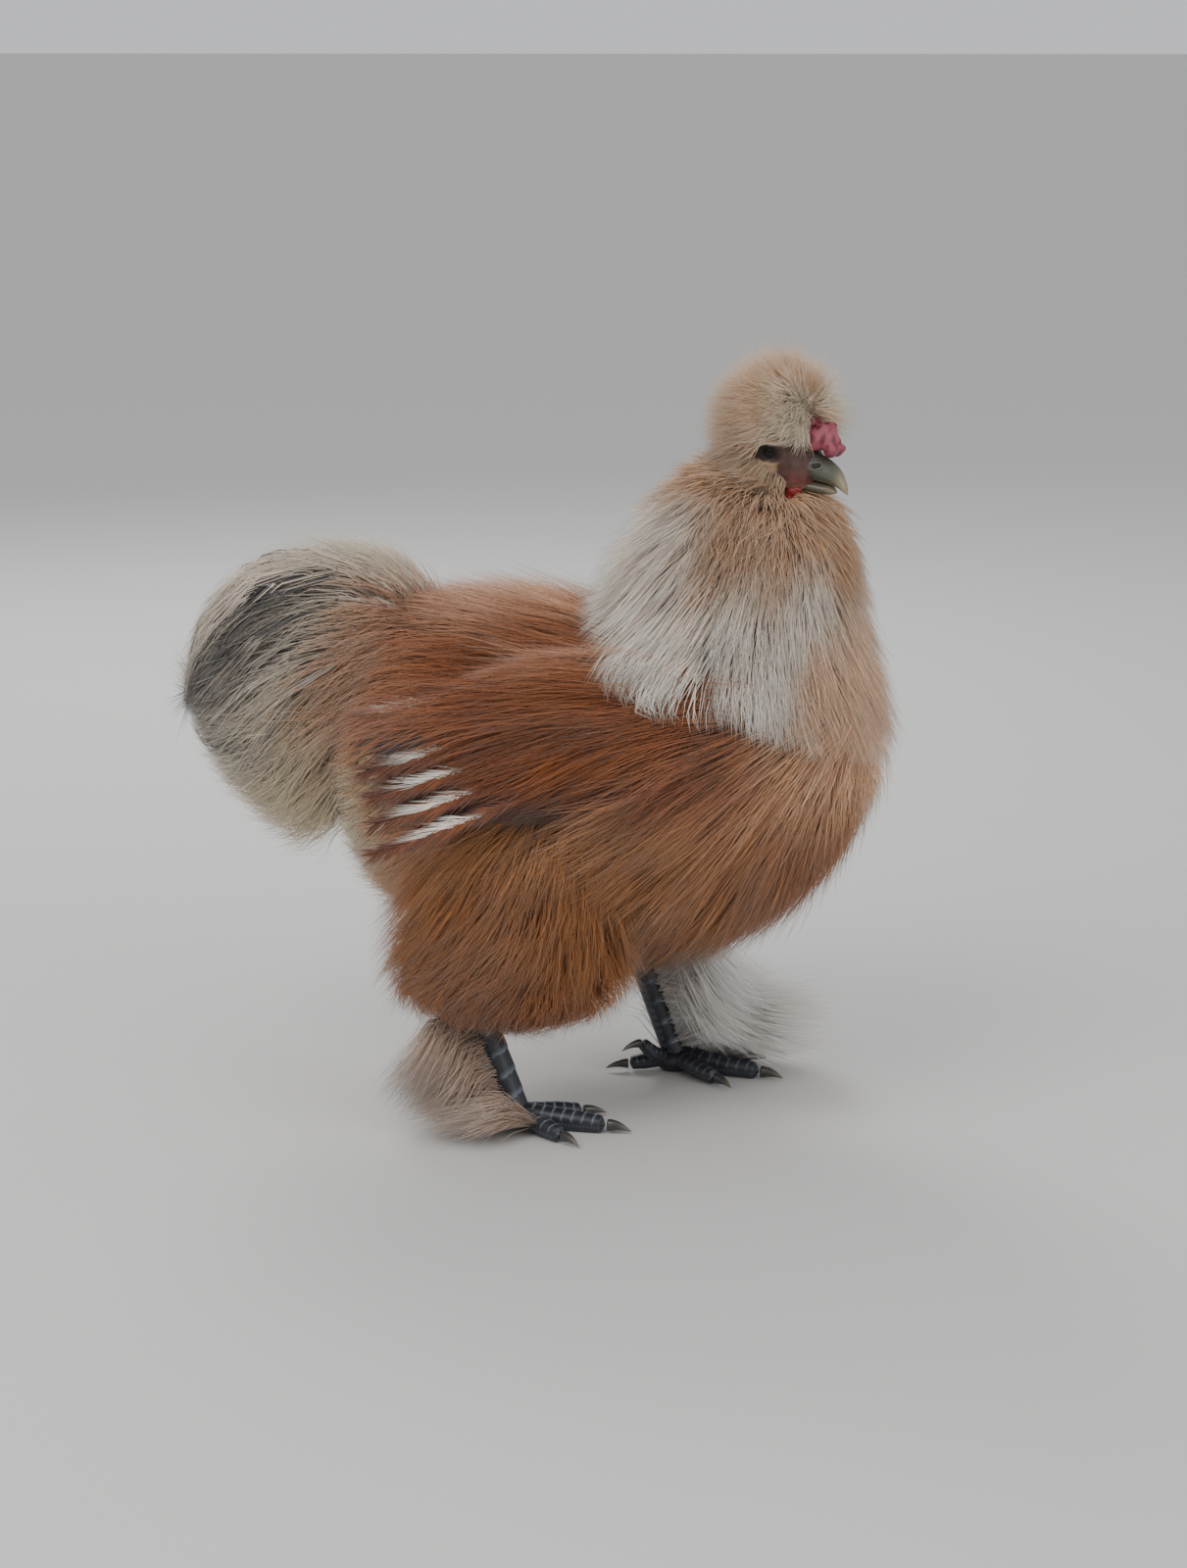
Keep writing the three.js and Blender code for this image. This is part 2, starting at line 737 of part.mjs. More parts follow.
// Crest: a round puff of locks that spring from the crown and fall open. The comb and the face part its
// lower rings in front, by this much to each side.
const CREST = { fore: 1, up: 12, reach: { fore: 33, aft: 36, side: 36, up: 36 }, coat: 0.54 };
const crestMass = ballMass(
  headPlace(CREST.fore, 0, CREST.up),
  headAxis(1, 0, 0),
  headAxis(0, 1, 0),
  headAxis(0, 0, 1),
  CREST.reach,
  CREST.coat,
);
const CREST_RINGS = [
  { u: 0.02, du: 0.22, count: 4, width: 23, parting: 0 },
  { u: 0.12, du: 0.24, count: 7, width: 23, parting: 0 },
  { u: 0.25, du: 0.22, count: 9, width: 23, parting: 0.5 },
  { u: 0.4, du: 0.26, count: 10, width: 24, parting: 1.75 },
];

function crest(grow) {
  const random = randomFrom(RANDOM_SEED + 7);
  const made = [coreOf(crestMass, 8, 5, grow)];
  for (const [ring, { u, du, count, width, parting }] of CREST_RINGS.entries()) {
    for (let k = 0; k < count; k++) {
      const v = ((k + (ring % 2) / 2) / count) * 2 * Math.PI + 0.08 * (random() - 0.5);
      const front = Math.abs(Math.atan2(Math.sin(v), Math.cos(v)));
      if (front < parting) continue;
      const size = 0.94 + 0.12 * random();
      const place = { u, v, du: du * size, dv: 0.08, width, thick: 6 };
      Object.assign(place, { from: -0.3, to: size, ease: 0.5 });
      made.push(lockOn(crestMass, place, grow));
    }
  }
  return joined(made);
}

// Legs
const along = (yaw, reach, side = 0) => {
  const a = rad(yaw);
  return vec(reach * Math.cos(a) - side * Math.sin(a), reach * Math.sin(a) + side * Math.cos(a), 0);
};
const footPlace = (side) => vec(FOOT[side].x, FOOT[side].y, 0);

// Locks of the foot's boots fan out between two headings, from the shank and from the outer toe
const BOOTS = {
  left: { from: 4, to: 118, rise: 22 },
  right: { from: -172, to: -108, rise: 10 },
};

function bootLock(side, { start, heading, length, rise, width, thick }, grow) {
  const path = [];
  const faces = [];
  for (let i = 0; i <= 3; i++) {
    const t = i / 3;
    const p = start.clone().add(along(heading, length * t));
    p.z += rise * Math.sin(Math.PI * t * 0.62) + (3.4 - 0.9 * start.z) * t * t;
    path.push(p);
    faces.push(vec(0, 0, 1).addScaledVector(along(heading, 1), 0.35).normalize());
  }
  return lock(path, faces, width, thick, LOCK_BREADTHS, grow);
}

// Shank: a scaled post from the ankle up to the hock inside the thigh, with a fringe on its outer side
const SHANK_LOCKS = 4;
const SHANK_LOCK = { length: 60, lift: 3 };
const BOOT_LOCK = { width: 22, thick: 6 };

function shankLine(side) {
  const foot = footPlace(side);
  const top = foot.clone().add(along(FOOT[side].yaw, -HOCK_BACK)).setZ(HOCK_HEIGHT);
  return [foot.setZ(ANKLE_HEIGHT), top];
}

function shank(side, grow) {
  const [low, top] = shankLine(side);
  const points = [0, 0.3, 0.65, 1].map((t) => low.clone().lerp(top, t));
  const r = SHANK_RADIUS;
  const made = [limb(points, [r * 1.05, r, r * 1.04, r * 1.3], 10, grow)];
  const { from, to, rise } = BOOTS[side];
  for (let k = 0; k < SHANK_LOCKS; k++) {
    const t = k / (SHANK_LOCKS - 1);
    const place = {
      start: low.clone().lerp(top, 0.2 + 0.32 * ((k % 3) / 2)),
      heading: lerp(from, to, 0.05 + 0.9 * t),
      length: SHANK_LOCK.length,
      rise: rise + SHANK_LOCK.lift,
      ...BOOT_LOCK,
    };
    made.push(bootLock(side, place, grow));
  }
  return joined(made);
}

// Toes: heading on the left foot, length, rise of the claw end, radius
const TOES = {
  inner: { heading: -34, length: 33, rise: 0, radius: 4.3 },
  middle: { heading: -2, length: 44, rise: 0, radius: 4.8 },
  outer: { heading: 33, length: 35, rise: 0, radius: 4.4 },
  hind: { heading: 208, length: 22, rise: 0, radius: 3.9 },
  fifth: { heading: 236, length: 20, rise: 13, radius: 3.5 },
};
const TOE_HEIGHT = { root: 6.2, end: 3.6 };
const CLAW_LENGTH = 10;

function toeLine(side, { heading, length, rise }) {
  const yaw = FOOT[side].yaw + signOf(side) * heading;
  const points = [0, 0.34, 0.67, 1].map((t) => {
    const p = footPlace(side).add(along(yaw, length * t));
    return p.setZ(lerp(TOE_HEIGHT.root, TOE_HEIGHT.end, t) + rise * t * t);
  });
  return { yaw, points };
}

const BOOT_LOCKS = 5;

function foot(side, grow) {
  const ankle = footPlace(side);
  const pad = roundSolid(ankle.clone().setZ(5), vec(9.5, 9, 7.5), 1, grow);
  const made = [pad];
  for (const toe of Object.values(TOES)) {
    const r = toe.radius;
    const { points } = toeLine(side, toe);
    made.push(limb(points, [r * 1.12, r, r * 1.02, r * 0.8], 6, grow));
  }
  const { from, to, rise } = BOOTS[side];
  const outer = toeLine(side, TOES.outer).points;
  for (let k = 0; k < BOOT_LOCKS; k++) {
    const t = k / (BOOT_LOCKS - 1);
    const place = {
      start: outer[0].clone().lerp(outer[2], side === "left" ? 0.75 * (1 - t) : 0.75 * t),
      heading: lerp(from, to, t),
      length: 62 + 6 * (k % 2),
      rise: rise + 5 * (k % 2),
      ...BOOT_LOCK,
    };
    made.push(bootLock(side, place, grow));
  }
  return joined(made);
}

function claw(side, toe, grow) {
  const { yaw, points } = toeLine(side, toe);
  const r = toe.radius;
  const end = points[points.length - 1];
  const path = [-0.1, 0.35, 0.7, 1].map((t) => {
    const p = end.clone().add(along(yaw, r * 0.5 + CLAW_LENGTH * t));
    p.z += 1.2 * t - 3.2 * t * t;
    return p;
  });
  return limb(path, [r * 0.62, r * 0.5, r * 0.34, 0.4], 6, grow, 0.9);
}

// Space that the neck leaves round the crest's tips
const CREST_ROOM = 2.5;

// Looks
const COLOURS = {
  buff: "#c08a5c",
  rust: "#8e4c26",
  cream: "#d3bfa2",
  ash: "#8a8078",
  horn: "#55564f",
  slate: "#3d4148",
  flesh: "#a04454",
  dark: "#100c0b",
};
function material(colour, roughness) {
  const color = COLOURS[colour];
  return new THREE.MeshStandardMaterial({ color, roughness, metalness: 0, flatShading: true });
}

const model = new THREE.Group();

function add(name, solid, colour, roughness = 0.9) {
  const { numProp, numVert, vertProperties, triVerts } = solid.getMesh();
  const positions = new Float32Array(numVert * 3);
  for (let i = 0; i < numVert; i++) {
    positions.set(vertProperties.subarray(i * numProp, i * numProp + 3), i * 3);
  }
  const geometry = new THREE.BufferGeometry();
  geometry.setAttribute("position", new THREE.BufferAttribute(positions, 3));
  geometry.setIndex(new THREE.BufferAttribute(new Uint32Array(triVerts), 1));
  const mesh = new THREE.Mesh(geometry, material(colour, roughness));
  mesh.name = name;
  model.add(mesh);
}

// A node as made, cut clear of the nodes that it lies against, and of the floor
const ground = underFloor();
function clear(made, others) {
  const room = joined([ground, ...others.map((other) => other(GAP))]);
  return largest(made(0).subtract(room));
}

for (const side of SIDES) {
  add(`eye_${side}`, eye(side, 0), "dark", 0.1);
  add(`wattle_${side}`, clear((g) => wattle(side, g), [beakUpper, beakLower]), "flesh", 0.6);
}
const eyes = SIDES.map((side) => (g) => eye(side, g));
const wattles = SIDES.map((side) => (g) => wattle(side, g));
add("beak_lower", clear(beakLower, [beakUpper]), "horn", 0.4);
add("beak_upper", largest(beakUpper(0)), "horn", 0.4);
add("head", clear(head, [...eyes, ...wattles, beakUpper, beakLower]), "cream");
add("comb", clear(comb, [beakUpper, head]), "flesh", 0.6);
add("crest", clear(crest, [head, ...eyes, ...wattles, beakUpper, beakLower, comb]), "cream");
add("torso", largest(torso(0)), "buff");
add("tail", clear(tail, [torso]), "ash");
for (const side of SIDES) {
  add(`thigh_${side}`, clear((g) => thigh(side, g), [torso]), "buff");
  add(`wing_${side}`, clear((g) => wing(side, g), [torso, tail, (g) => thigh(side, g)]), "rust");
}
const wingSolids = SIDES.map((side) => (g) => wing(side, g));
const underCrest = (g) => coreOf(crestMass, 12, 7, g + CREST_ROOM, 1);
add("neck", clear(neck, [head, underCrest, torso, ...wattles, ...wingSolids]), "cream");
for (const side of SIDES) {
  const claws = [];
  for (const [name, toe] of Object.entries(TOES)) {
    const made = (g) => claw(side, toe, g);
    claws.push(made);
    add(`claw_${name}_${side}`, clear(made, []), "slate", 0.5);
  }
  add(`foot_${side}`, clear((g) => foot(side, g), claws), "slate", 0.7);
  const above = [(g) => foot(side, g), (g) => thigh(side, g), torso, ...claws];
  add(`shank_${side}`, clear((g) => shank(side, g), above), "slate", 0.7);
}

// The frame's origin is on the floor, under the middle of the bird's bounding box
const box = new THREE.Box3().setFromObject(model);
const middle = box.getCenter(new THREE.Vector3());
for (const mesh of model.children) mesh.geometry.translate(-middle.x, -middle.y, 0);

export default model;
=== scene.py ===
"""A silkie cockerel: skin, silky plumage, head, legs and feet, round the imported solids.

Shapes are worked out in millimetres in the solids' own layout, then moved into the frame in metres.
"""

import math

import bpy
import numpy as np
from mathutils import Euler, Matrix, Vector, kdtree


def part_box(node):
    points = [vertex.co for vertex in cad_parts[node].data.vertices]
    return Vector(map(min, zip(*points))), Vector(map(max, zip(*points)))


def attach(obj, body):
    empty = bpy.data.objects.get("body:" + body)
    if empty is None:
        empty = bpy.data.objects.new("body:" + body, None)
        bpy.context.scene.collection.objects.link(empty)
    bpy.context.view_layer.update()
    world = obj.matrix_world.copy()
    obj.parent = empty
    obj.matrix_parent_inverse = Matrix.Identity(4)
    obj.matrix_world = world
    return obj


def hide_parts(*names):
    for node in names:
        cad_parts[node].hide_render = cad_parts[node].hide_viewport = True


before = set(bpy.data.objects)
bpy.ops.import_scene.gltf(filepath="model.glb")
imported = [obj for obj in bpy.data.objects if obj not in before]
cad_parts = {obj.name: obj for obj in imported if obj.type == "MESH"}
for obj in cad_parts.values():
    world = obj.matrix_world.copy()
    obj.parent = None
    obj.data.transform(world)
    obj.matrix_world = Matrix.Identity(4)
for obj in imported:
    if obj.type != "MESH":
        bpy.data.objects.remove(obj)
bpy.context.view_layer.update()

MM = 0.001
RANDOM_SEED = 4127
rng = np.random.default_rng(RANDOM_SEED)

# Head: where it is held and how it is turned, as in the solids
HEAD_PLACE = np.array([93.0, -6.0, 314.0])
HEAD_YAW = -22
HEAD_PITCH = -7
EYE = {"fore": 5, "side": 12.8, "up": 1, "radius": 5.2}

# Feet: the middle of each foot on the floor, its heading, and the hock above and behind it
FOOT = {
    "left": {"x": 37, "y": 50, "yaw": -8},
    "right": {"x": -20, "y": -52, "yaw": -5},
}
HOCK_BACK = 28
HOCK_HEIGHT = 84
SHANK_RADIUS = 6.2
ANKLE_HEIGHT = 10
SIDES = {"left": 1, "right": -1}

# Colours, as sRGB from 0 to 255
PALETTE = {
    "crest": (204, 164, 130),
    "crest_pale": (224, 208, 184),
    "cheek": (184, 146, 108),
    "neck_buff": (190, 140, 92),
    "gold": (188, 126, 66),
    "hackle": (242, 236, 224),
    "breast": (230, 184, 146),
    "breast_low": (172, 112, 70),
    # Darker colour under the belly, partly a darker buff-tan and partly painted shade
    "belly": (112, 64, 32),
    "rust": (158, 90, 48),
    # Dark rust, also used as a painted shadow along the wing's lower edge
    "rust_dark": (72, 30, 12),
    # Pale tan laid on top of the back and wings as painted sunlight from above
    "back": (222, 172, 136),
    "saddle": (176, 112, 72),
    "cream": (218, 202, 172),
    "tail_pale": (214, 200, 182),
    "tail_grey": (112, 110, 108),
    "black": (30, 30, 32),
    "flank": (188, 126, 72),
    "thigh": (168, 106, 54),
    "thigh_low": (142, 82, 36),
    "boot_near": (180, 150, 128),
    "boot_far": (250, 246, 240),
    "comb": (160, 78, 92),
    "comb_dark": (96, 28, 42),
    "face": (84, 60, 54),
    "face_warm": (112, 54, 50),
    # Dark of the lids, also laid in the nostril's pit as painted shade
    "lid": (24, 18, 18),
    "beak": (80, 80, 68),
    # Painted highlight on top of the beak's base
    "beak_pale": (140, 142, 138),
    "horn_tip": (158, 142, 108),
    "shank": (40, 42, 47),
    "scale_edge": (122, 132, 144),
    "wattle": (142, 40, 40),
    "claw": (58, 56, 54),
    "claw_tip": (120, 108, 92),
    "iris": (22, 13, 10),
    "pupil": (6, 5, 5),
}


def linear(srgb):
    """Linear colour from sRGB."""
    c = np.asarray(srgb, float) / 255
    return np.where(c <= 0.04045, c / 12.92, ((c + 0.055) / 1.055) ** 2.4)


INK = {name: linear(value) for name, value in PALETTE.items()}


def smooth(x, low, high):
    """0 at low, 1 at high, with a soft slope between; low may be the larger."""
    t = np.clip((np.asarray(x, float) - low) / (high - low), 0, 1)
    return t * t * (3 - 2 * t)


def mix(a, b, weight):
    """Blend of two colours, row by row."""
    w = np.asarray(weight, float)[..., None]
    return a * (1 - w) + b * w


def dyed(base, **layers):
    """A colour, given by name or as rows, with named colours laid over it in turn, each by its weight."""
    colour = INK[base] if isinstance(base, str) else base
    for name, weight in layers.items():
        colour = mix(colour, INK[name], weight)
    return colour


def unit(v):
    return v / np.maximum(np.linalg.norm(v, axis=-1, keepdims=True), 1e-9)


WAVES = np.random.default_rng(RANDOM_SEED + 1).normal(size=(6, 3))


def patchy(p, size, offset=0.0):
    """Smooth patches from -1 to 1 over places p, each about size across."""
    total = 0
    for k, wave in enumerate(WAVES):
        total = total + np.sin((p @ wave) * (1.6 / size) * (1 + 0.35 * k) + 2.1 * k + offset)
    return np.clip(total / 3, -1, 1)


# Masses of plumage, as in the solids

def through(values, t):
    """Value of a smooth curve through evenly spaced numbers, at t from 0 to 1."""
    last = len(values) - 1
    at = np.clip(t, 0, 1) * last
    i = np.minimum(at.astype(int), last - 1)
    f = at - i
    p0, p1, p2, p3 = (values[np.clip(i + k, 0, last)] for k in (-1, 0, 1, 2))
    slope1 = (p2 - p0) / 2
    slope2 = (p3 - p1) / 2
    a = 2 * p1 - 2 * p2 + slope1 + slope2
    b = -3 * p1 + 3 * p2 - 2 * slope1 - slope2
    return ((a * f + b) * f + slope1) * f + p1


class Loft:
    """A mass along sections, each [x, y, z, lean, fore, aft, side].

    coat is the plumage's share of the reach. The core runs from bone_from to bone_to along the mass.
    """

    END = 0.93
    STEP = 0.03

    def __init__(self, coat, bone_from, bone_to, sections):
        self.columns = np.array(sections, float).T
        self.coat = coat
        self.bone = (bone_from, bone_to)

    def centre(self, u):
        return np.stack([through(self.columns[k], u) for k in range(3)], -1)

    def fore(self, u):
        lean = np.radians(through(self.columns[3], u))
        return np.stack([np.cos(lean), 0 * lean, np.sin(lean)], -1)

    def reach(self, k, u):
        return np.maximum(0.5, through(self.columns[k], u))

    def shell(self, u, v):
        along = np.where(np.cos(v) >= 0, self.reach(4, u), self.reach(5, u)) * np.cos(v)
        out = self.centre(u) + self.fore(u) * along[..., None]
        out[..., 1] += self.reach(6, u) * np.sin(v)
        return out

    def inner(self, u, v, h):
        bone = self.centre(np.clip(u, *self.bone))
        return bone + (self.shell(u, v) - bone) * (1 - self.coat * (1 - h))[..., None]

    def at(self, u, v, h):
        """The place at height h: 1 at the tips, 0 at the core. Past its end the mass runs straight on."""
        u, v, h = np.broadcast_arrays(u, v, h)
        held = np.minimum(u, self.END)
        place = self.inner(held, v, h)
        beyond = np.maximum(u - self.END, 0)
        if np.any(beyond > 0):
            before = self.inner(held - self.STEP, v, h)
            place = place + (place - before) * (0.75 * beyond / self.STEP)[..., None]
        return place

    def holds(self, p, scale=1.0):
        """Whether each place lies inside the mass's tips, shrunk by scale."""
        us = np.linspace(0, 1, 41)
        centre = self.centre(us)
        fore = self.fore(us)
        axis = np.stack([-fore[:, 2], 0 * us, fore[:, 0]], -1)
        off = np.abs(np.einsum("nkc,kc->nk", p[:, None, :] - centre[None], axis))
        best = np.argmin(off, axis=1)
        d = p - centre[best]
        f = np.einsum("nc,nc->n", d, fore[best])
        reach = np.where(f >= 0, self.reach(4, us[best]), self.reach(5, us[best]))
        s = d[:, 1] / self.reach(6, us[best])
        inside = (f / reach) ** 2 + s**2 < scale**2
        return inside & (off[np.arange(len(p)), best] < 6)


def laid_over(paths, mass, clearance):
    """Strands arched outwards so that they lie on a wing instead of running through it."""
    us = np.linspace(0, 1, 81)
    centre = mass.centre(us)
    u = np.interp(-paths[..., 0], -centre[:, 0], us)
    x_off = np.abs(np.interp(u, us, centre[:, 0]) - paths[..., 0])
    rise = paths[..., 2] - np.interp(u, us, centre[:, 2])
    reach = np.where(rise >= 0, mass.reach(4, u), mass.reach(5, u)) + clearance
    inside = np.clip(1 - (rise / reach) ** 2, 0, 1) * (x_off < 1)
    middle = np.interp(u, us, centre[:, 1])
    sign = np.sign(middle[0, 0])
    surface = np.abs(middle) + (mass.reach(6, u) + clearance) * np.sqrt(inside)
    near = smooth(sign * paths[..., 1], 30, 55) * smooth(inside, 0, 0.3)
    near = near * np.maximum(smooth(rise, -16, 6), smooth(paths[..., 0], 32, 58))
    short = np.maximum(surface - sign * paths[..., 1], 0) * near
    most = short.max(axis=1, keepdims=True)
    steps = paths.shape[1]
    t = np.linspace(0, 1, steps)[None, :]
    arch = most * smooth(t, -0.2, 0.2 + short.argmax(axis=1)[:, None] / (steps - 1))
    moved = paths.copy()
    moved[..., 1] += sign * np.maximum(short, arch)
    return moved


class Ball:
    """A round mass about a centre, with its pole along up."""

    def __init__(self, centre, fore, side, up, reach, coat):
        self.middle = centre
        self.axes = (fore, side, up)
        self.reach = reach
        self.coat = coat

    def shell(self, u, v):
        fore, side, up = self.axes
        polar = np.pi * u
        along = np.where(np.cos(v) >= 0, self.reach["fore"], self.reach["aft"])
        out = self.middle + (self.reach["up"] * np.cos(polar))[..., None] * up
        out = out + (along * np.sin(polar) * np.cos(v))[..., None] * fore
        return out + (self.reach["side"] * np.sin(polar) * np.sin(v))[..., None] * side

    def at(self, u, v, h):
        """The place at height h: 1 at the tips, 0 at the core."""
        u, v, h = np.broadcast_arrays(u, v, h)
        out = self.shell(u, v) - self.middle
        return self.middle + out * (1 - self.coat * (1 - h))[..., None]


torso_mass = Loft(0.2, 0.3, 0.72, [
    [151, 0, 188, 90, 3, 3, 3],
    [144, 0, 184, 90, 34, 30, 33],
    [124, 0, 173, 90, 55, 54, 60],
    [94, 0, 163, 90, 73, 74, 80],
    [54, 0, 158, 90, 87, 89, 89],
    [10, 0, 158, 90, 93, 96, 91],
    [-34, 0, 161, 90, 92, 92, 87],
    [-72, 0, 168, 90, 81, 86, 75],
    [-98, 0, 173, 90, 60, 76, 57],
    [-113, 0, 174, 90, 34, 50, 33],
    [-119, 0, 174, 90, 3, 3, 3],
])
neck_mass = Loft(0.34, 0.28, 0.72, [
    [92, -6, 307, -16, 4, 4, 4],
    [91, -6, 301, -16, 31, 35, 28],
    [89, -5, 286, -18, 44, 49, 39],
    [86, -3, 267, -20, 54, 61, 49],
    [83, -2, 247, -20, 62, 72, 59],
    [80, 0, 226, -20, 72, 79, 69],
    [77, 0, 208, -22, 78, 83, 76],
    [76, 0, 194, -22, 70, 72, 70],
    [76, 0, 188, -22, 4, 4, 4],
])
tail_mass = Loft(0.33, 0.3, 0.6, [
    [-48, 0, 206, 90, 4, 4, 4],
    [-62, 0, 208, 90, 40, 44, 38],
    [-88, 0, 208, 92, 60, 78, 51],
    [-118, 0, 204, 94, 69, 96, 53],
    [-146, 0, 200, 96, 65, 86, 47],
    [-169, 0, 197, 98, 50, 62, 35],
    [-184, 0, 196, 98, 28, 34, 19],
    [-190, 0, 195, 98, 3, 3, 3],
])


def mirrored(lean, coat, bone_from, bone_to, left_ahead, sections):
    """A mass on each side, from the left one's sections, each [x, y, z, fore, aft, side]."""
    masses = {}
    for side, sign in SIDES.items():
        ahead = left_ahead if side == "left" else 0
        rows = [[x + ahead, sign * y, z, lean, *reach] for x, y, z, *reach in sections]
        masses[side] = Loft(coat, bone_from, bone_to, rows)
    return masses


LEFT_THIGH_AHEAD = 20
thigh_masses = mirrored(0, 0.3, 0.25, 0.62, LEFT_THIGH_AHEAD, [
    [0, 46, 172, 3, 3, 3],
    [-2, 48, 164, 34, 34, 22],
    [-7, 51, 140, 53, 60, 34],
    [-12, 53, 110, 59, 69, 39],
    [-17, 54, 82, 60, 69, 38],
    [-19, 54, 64, 55, 63, 35],
    [-20, 54, 52, 42, 46, 27],
    [-20, 54, 47, 3, 3, 3],
])
wing_masses = mirrored(90, 0.24, 0.24, 0.7, 0, [
    [74, 62, 206, 4, 4, 4],
    [67, 68, 205, 22, 24, 12],
    [48, 76, 201, 33, 39, 15],
    [18, 80, 197, 38, 45, 16],
    [-16, 82, 191, 36, 41, 16],
    [-50, 79, 182, 28, 32, 13],
    [-74, 74, 174, 15, 18, 9],
    [-84, 71, 170, 3, 3, 3],
])

# Head frame
head_turn = np.array(Euler((0, math.radians(-HEAD_PITCH), 0)).to_matrix())
head_turn = np.array(Euler((0, 0, math.radians(HEAD_YAW))).to_matrix()) @ head_turn


def head_axis(v):
    return np.asarray(v, float) @ head_turn.T


def head_point(v):
    """A place in the head's own frame (fore, left, up), in the layout's frame."""
    return head_axis(v) + HEAD_PLACE


def in_head(p):
    return (p - HEAD_PLACE) @ head_turn


def eye_point(side):
    return head_point([EYE["fore"], SIDES[side] * EYE["side"], EYE["up"]])


# The crest parts behind the comb, so its pole leans forwards
CREST_LEAN = math.radians(52)
crest_mass = Ball(
    head_point([1, 0, 12]),
    head_axis([math.cos(CREST_LEAN), 0, -math.sin(CREST_LEAN)]),
    head_axis([0, 1, 0]),
    head_axis([math.sin(CREST_LEAN), 0, math.cos(CREST_LEAN)]),
    {"fore": 33, "aft": 36, "side": 36, "up": 36},
    0.54,
)

# The layout's place in the frame, from where the solids' right eye is
low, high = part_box("eye_right")
SHIFT = (np.array(low) + np.array(high)) / 2 - eye_point("right") * MM
SHIFT[2] = 0


def placed(p):
    """Layout millimetres to frame metres."""
    return np.asarray(p, float) * MM + SHIFT


# Materials

def coloured(name, roughness, specular=0.5, sheen=0.0, coat=0.0, bump=None, subsurface=0.0):
    """A material with the mesh's own colours. bump is the size and the height of its relief in metres."""
    material = bpy.data.materials.new(name)
    material.use_nodes = True
    nodes = material.node_tree.nodes
    links = material.node_tree.links
    shader = nodes["Principled BSDF"]
    settings = {
        "Roughness": roughness,
        "Specular IOR Level": specular,
        "Sheen Weight": sheen,
        "Coat Weight": coat,
        "Subsurface Weight": subsurface,
        "Subsurface Radius": (0.004, 0.0015, 0.001),
    }
    for socket, value in settings.items():
        shader.inputs[socket].default_value = value
    colour = nodes.new("ShaderNodeVertexColor")
    colour.layer_name = "Colour"
    links.new(colour.outputs["Color"], shader.inputs["Base Color"])
    if bump:
        size, height = bump
        place = nodes.new("ShaderNodeTexCoord")
        noise = nodes.new("ShaderNodeTexNoise")
        noise.inputs["Scale"].default_value = 1 / size
        noise.inputs["Detail"].default_value = 4
        relief = nodes.new("ShaderNodeBump")
        relief.inputs["Distance"].default_value = height
        relief.inputs["Strength"].default_value = 1
        links.new(place.outputs["Object"], noise.inputs["Vector"])
        links.new(noise.outputs["Fac"], relief.inputs["Height"])
        links.new(relief.outputs["Normal"], shader.inputs["Normal"])
    return material


PLUMAGE = coloured("silky_plumage", 0.62, specular=0.25, sheen=0.25)
SKIN = coloured("skin", 0.55, specular=0.35, bump=(0.0012, 0.0003))
FLESH = coloured("comb_flesh", 0.42, bump=(0.0011, 0.00035), subsurface=0.25)
HORN = coloured("beak_horn", 0.34, coat=0.15, bump=(0.004, 0.00008))
SCUTES = coloured("leg_scutes", 0.42, bump=(0.0016, 0.00012))
EYEBALL = coloured("eyeball", 0.07, specular=0.25)


# Meshes

def finished(obj, material, replaced=()):
    """Gives a piece its material, its body and the solids that it stands for."""
    obj.data.materials.append(material)
    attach(obj, "root")
    if replaced:
        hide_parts(*replaced)
    return obj


def piece(name, shape, colours, material, slot, *replaced):
    """A finished piece from its points and triangles."""
    return finished(triangle_mesh(name, *shape, colours), material, replaced)


def in_scene(name, data):
    """A new object of the scene, of a mesh, a lamp or a camera."""
    obj = bpy.data.objects.new(name, data)
    bpy.context.scene.collection.objects.link(obj)
    return obj


def triangle_mesh(name, points, triangles, colours=None, uv=None):
    """A smooth mesh from arrays: places in the layout, triangles, a colour for each point, and its map."""
    mesh = bpy.data.meshes.new(name)
    mesh.vertices.add(len(points))
    mesh.vertices.foreach_set("co", placed(points).astype(np.float32).ravel())
    corners = triangles.astype(np.int32).ravel()
    mesh.loops.add(len(corners))
    mesh.loops.foreach_set("vertex_index", corners)
    mesh.polygons.add(len(triangles))
    mesh.polygons.foreach_set("loop_start", np.arange(0, len(corners), 3, dtype=np.int32))
    mesh.update(calc_edges=True)
    mesh.shade_smooth()
    if colours is not None:
        paint(mesh, colours)
    if uv is not None:
        layer = mesh.uv_layers.new(name="OFBake")
        layer.uv.foreach_set("vector", uv[corners].astype(np.float32).ravel())
    return in_scene(name, mesh)


def paint(mesh, colours):
    """Stores a colour for each point of a mesh."""
    rgba = np.ones((len(mesh.vertices), 4), np.float32)
    rgba[:, :3] = np.clip(colours, 0, 1)
    layer = mesh.color_attributes.new("Colour", "FLOAT_COLOR", "POINT")
    layer.data.foreach_set("color", rgba.ravel())


def circle(places):
    """Angles evenly round a circle, as a row."""
    return np.linspace(0, 2 * np.pi, places, endpoint=False)[None, :]


def band(a, b):
    """Triangles between the point numbers a and b of neighbouring closed rings."""
    a1 = np.roll(a, -1, 1)
    b1 = np.roll(b, -1, 1)
    return np.stack([a, a1, b1, a, b1, b], -1).reshape(-1, 3)


def cap(ring, tip):
    """Triangles from a closed ring to one point."""
    return np.stack([ring, np.roll(ring, -1), np.full(len(ring), tip)], -1)


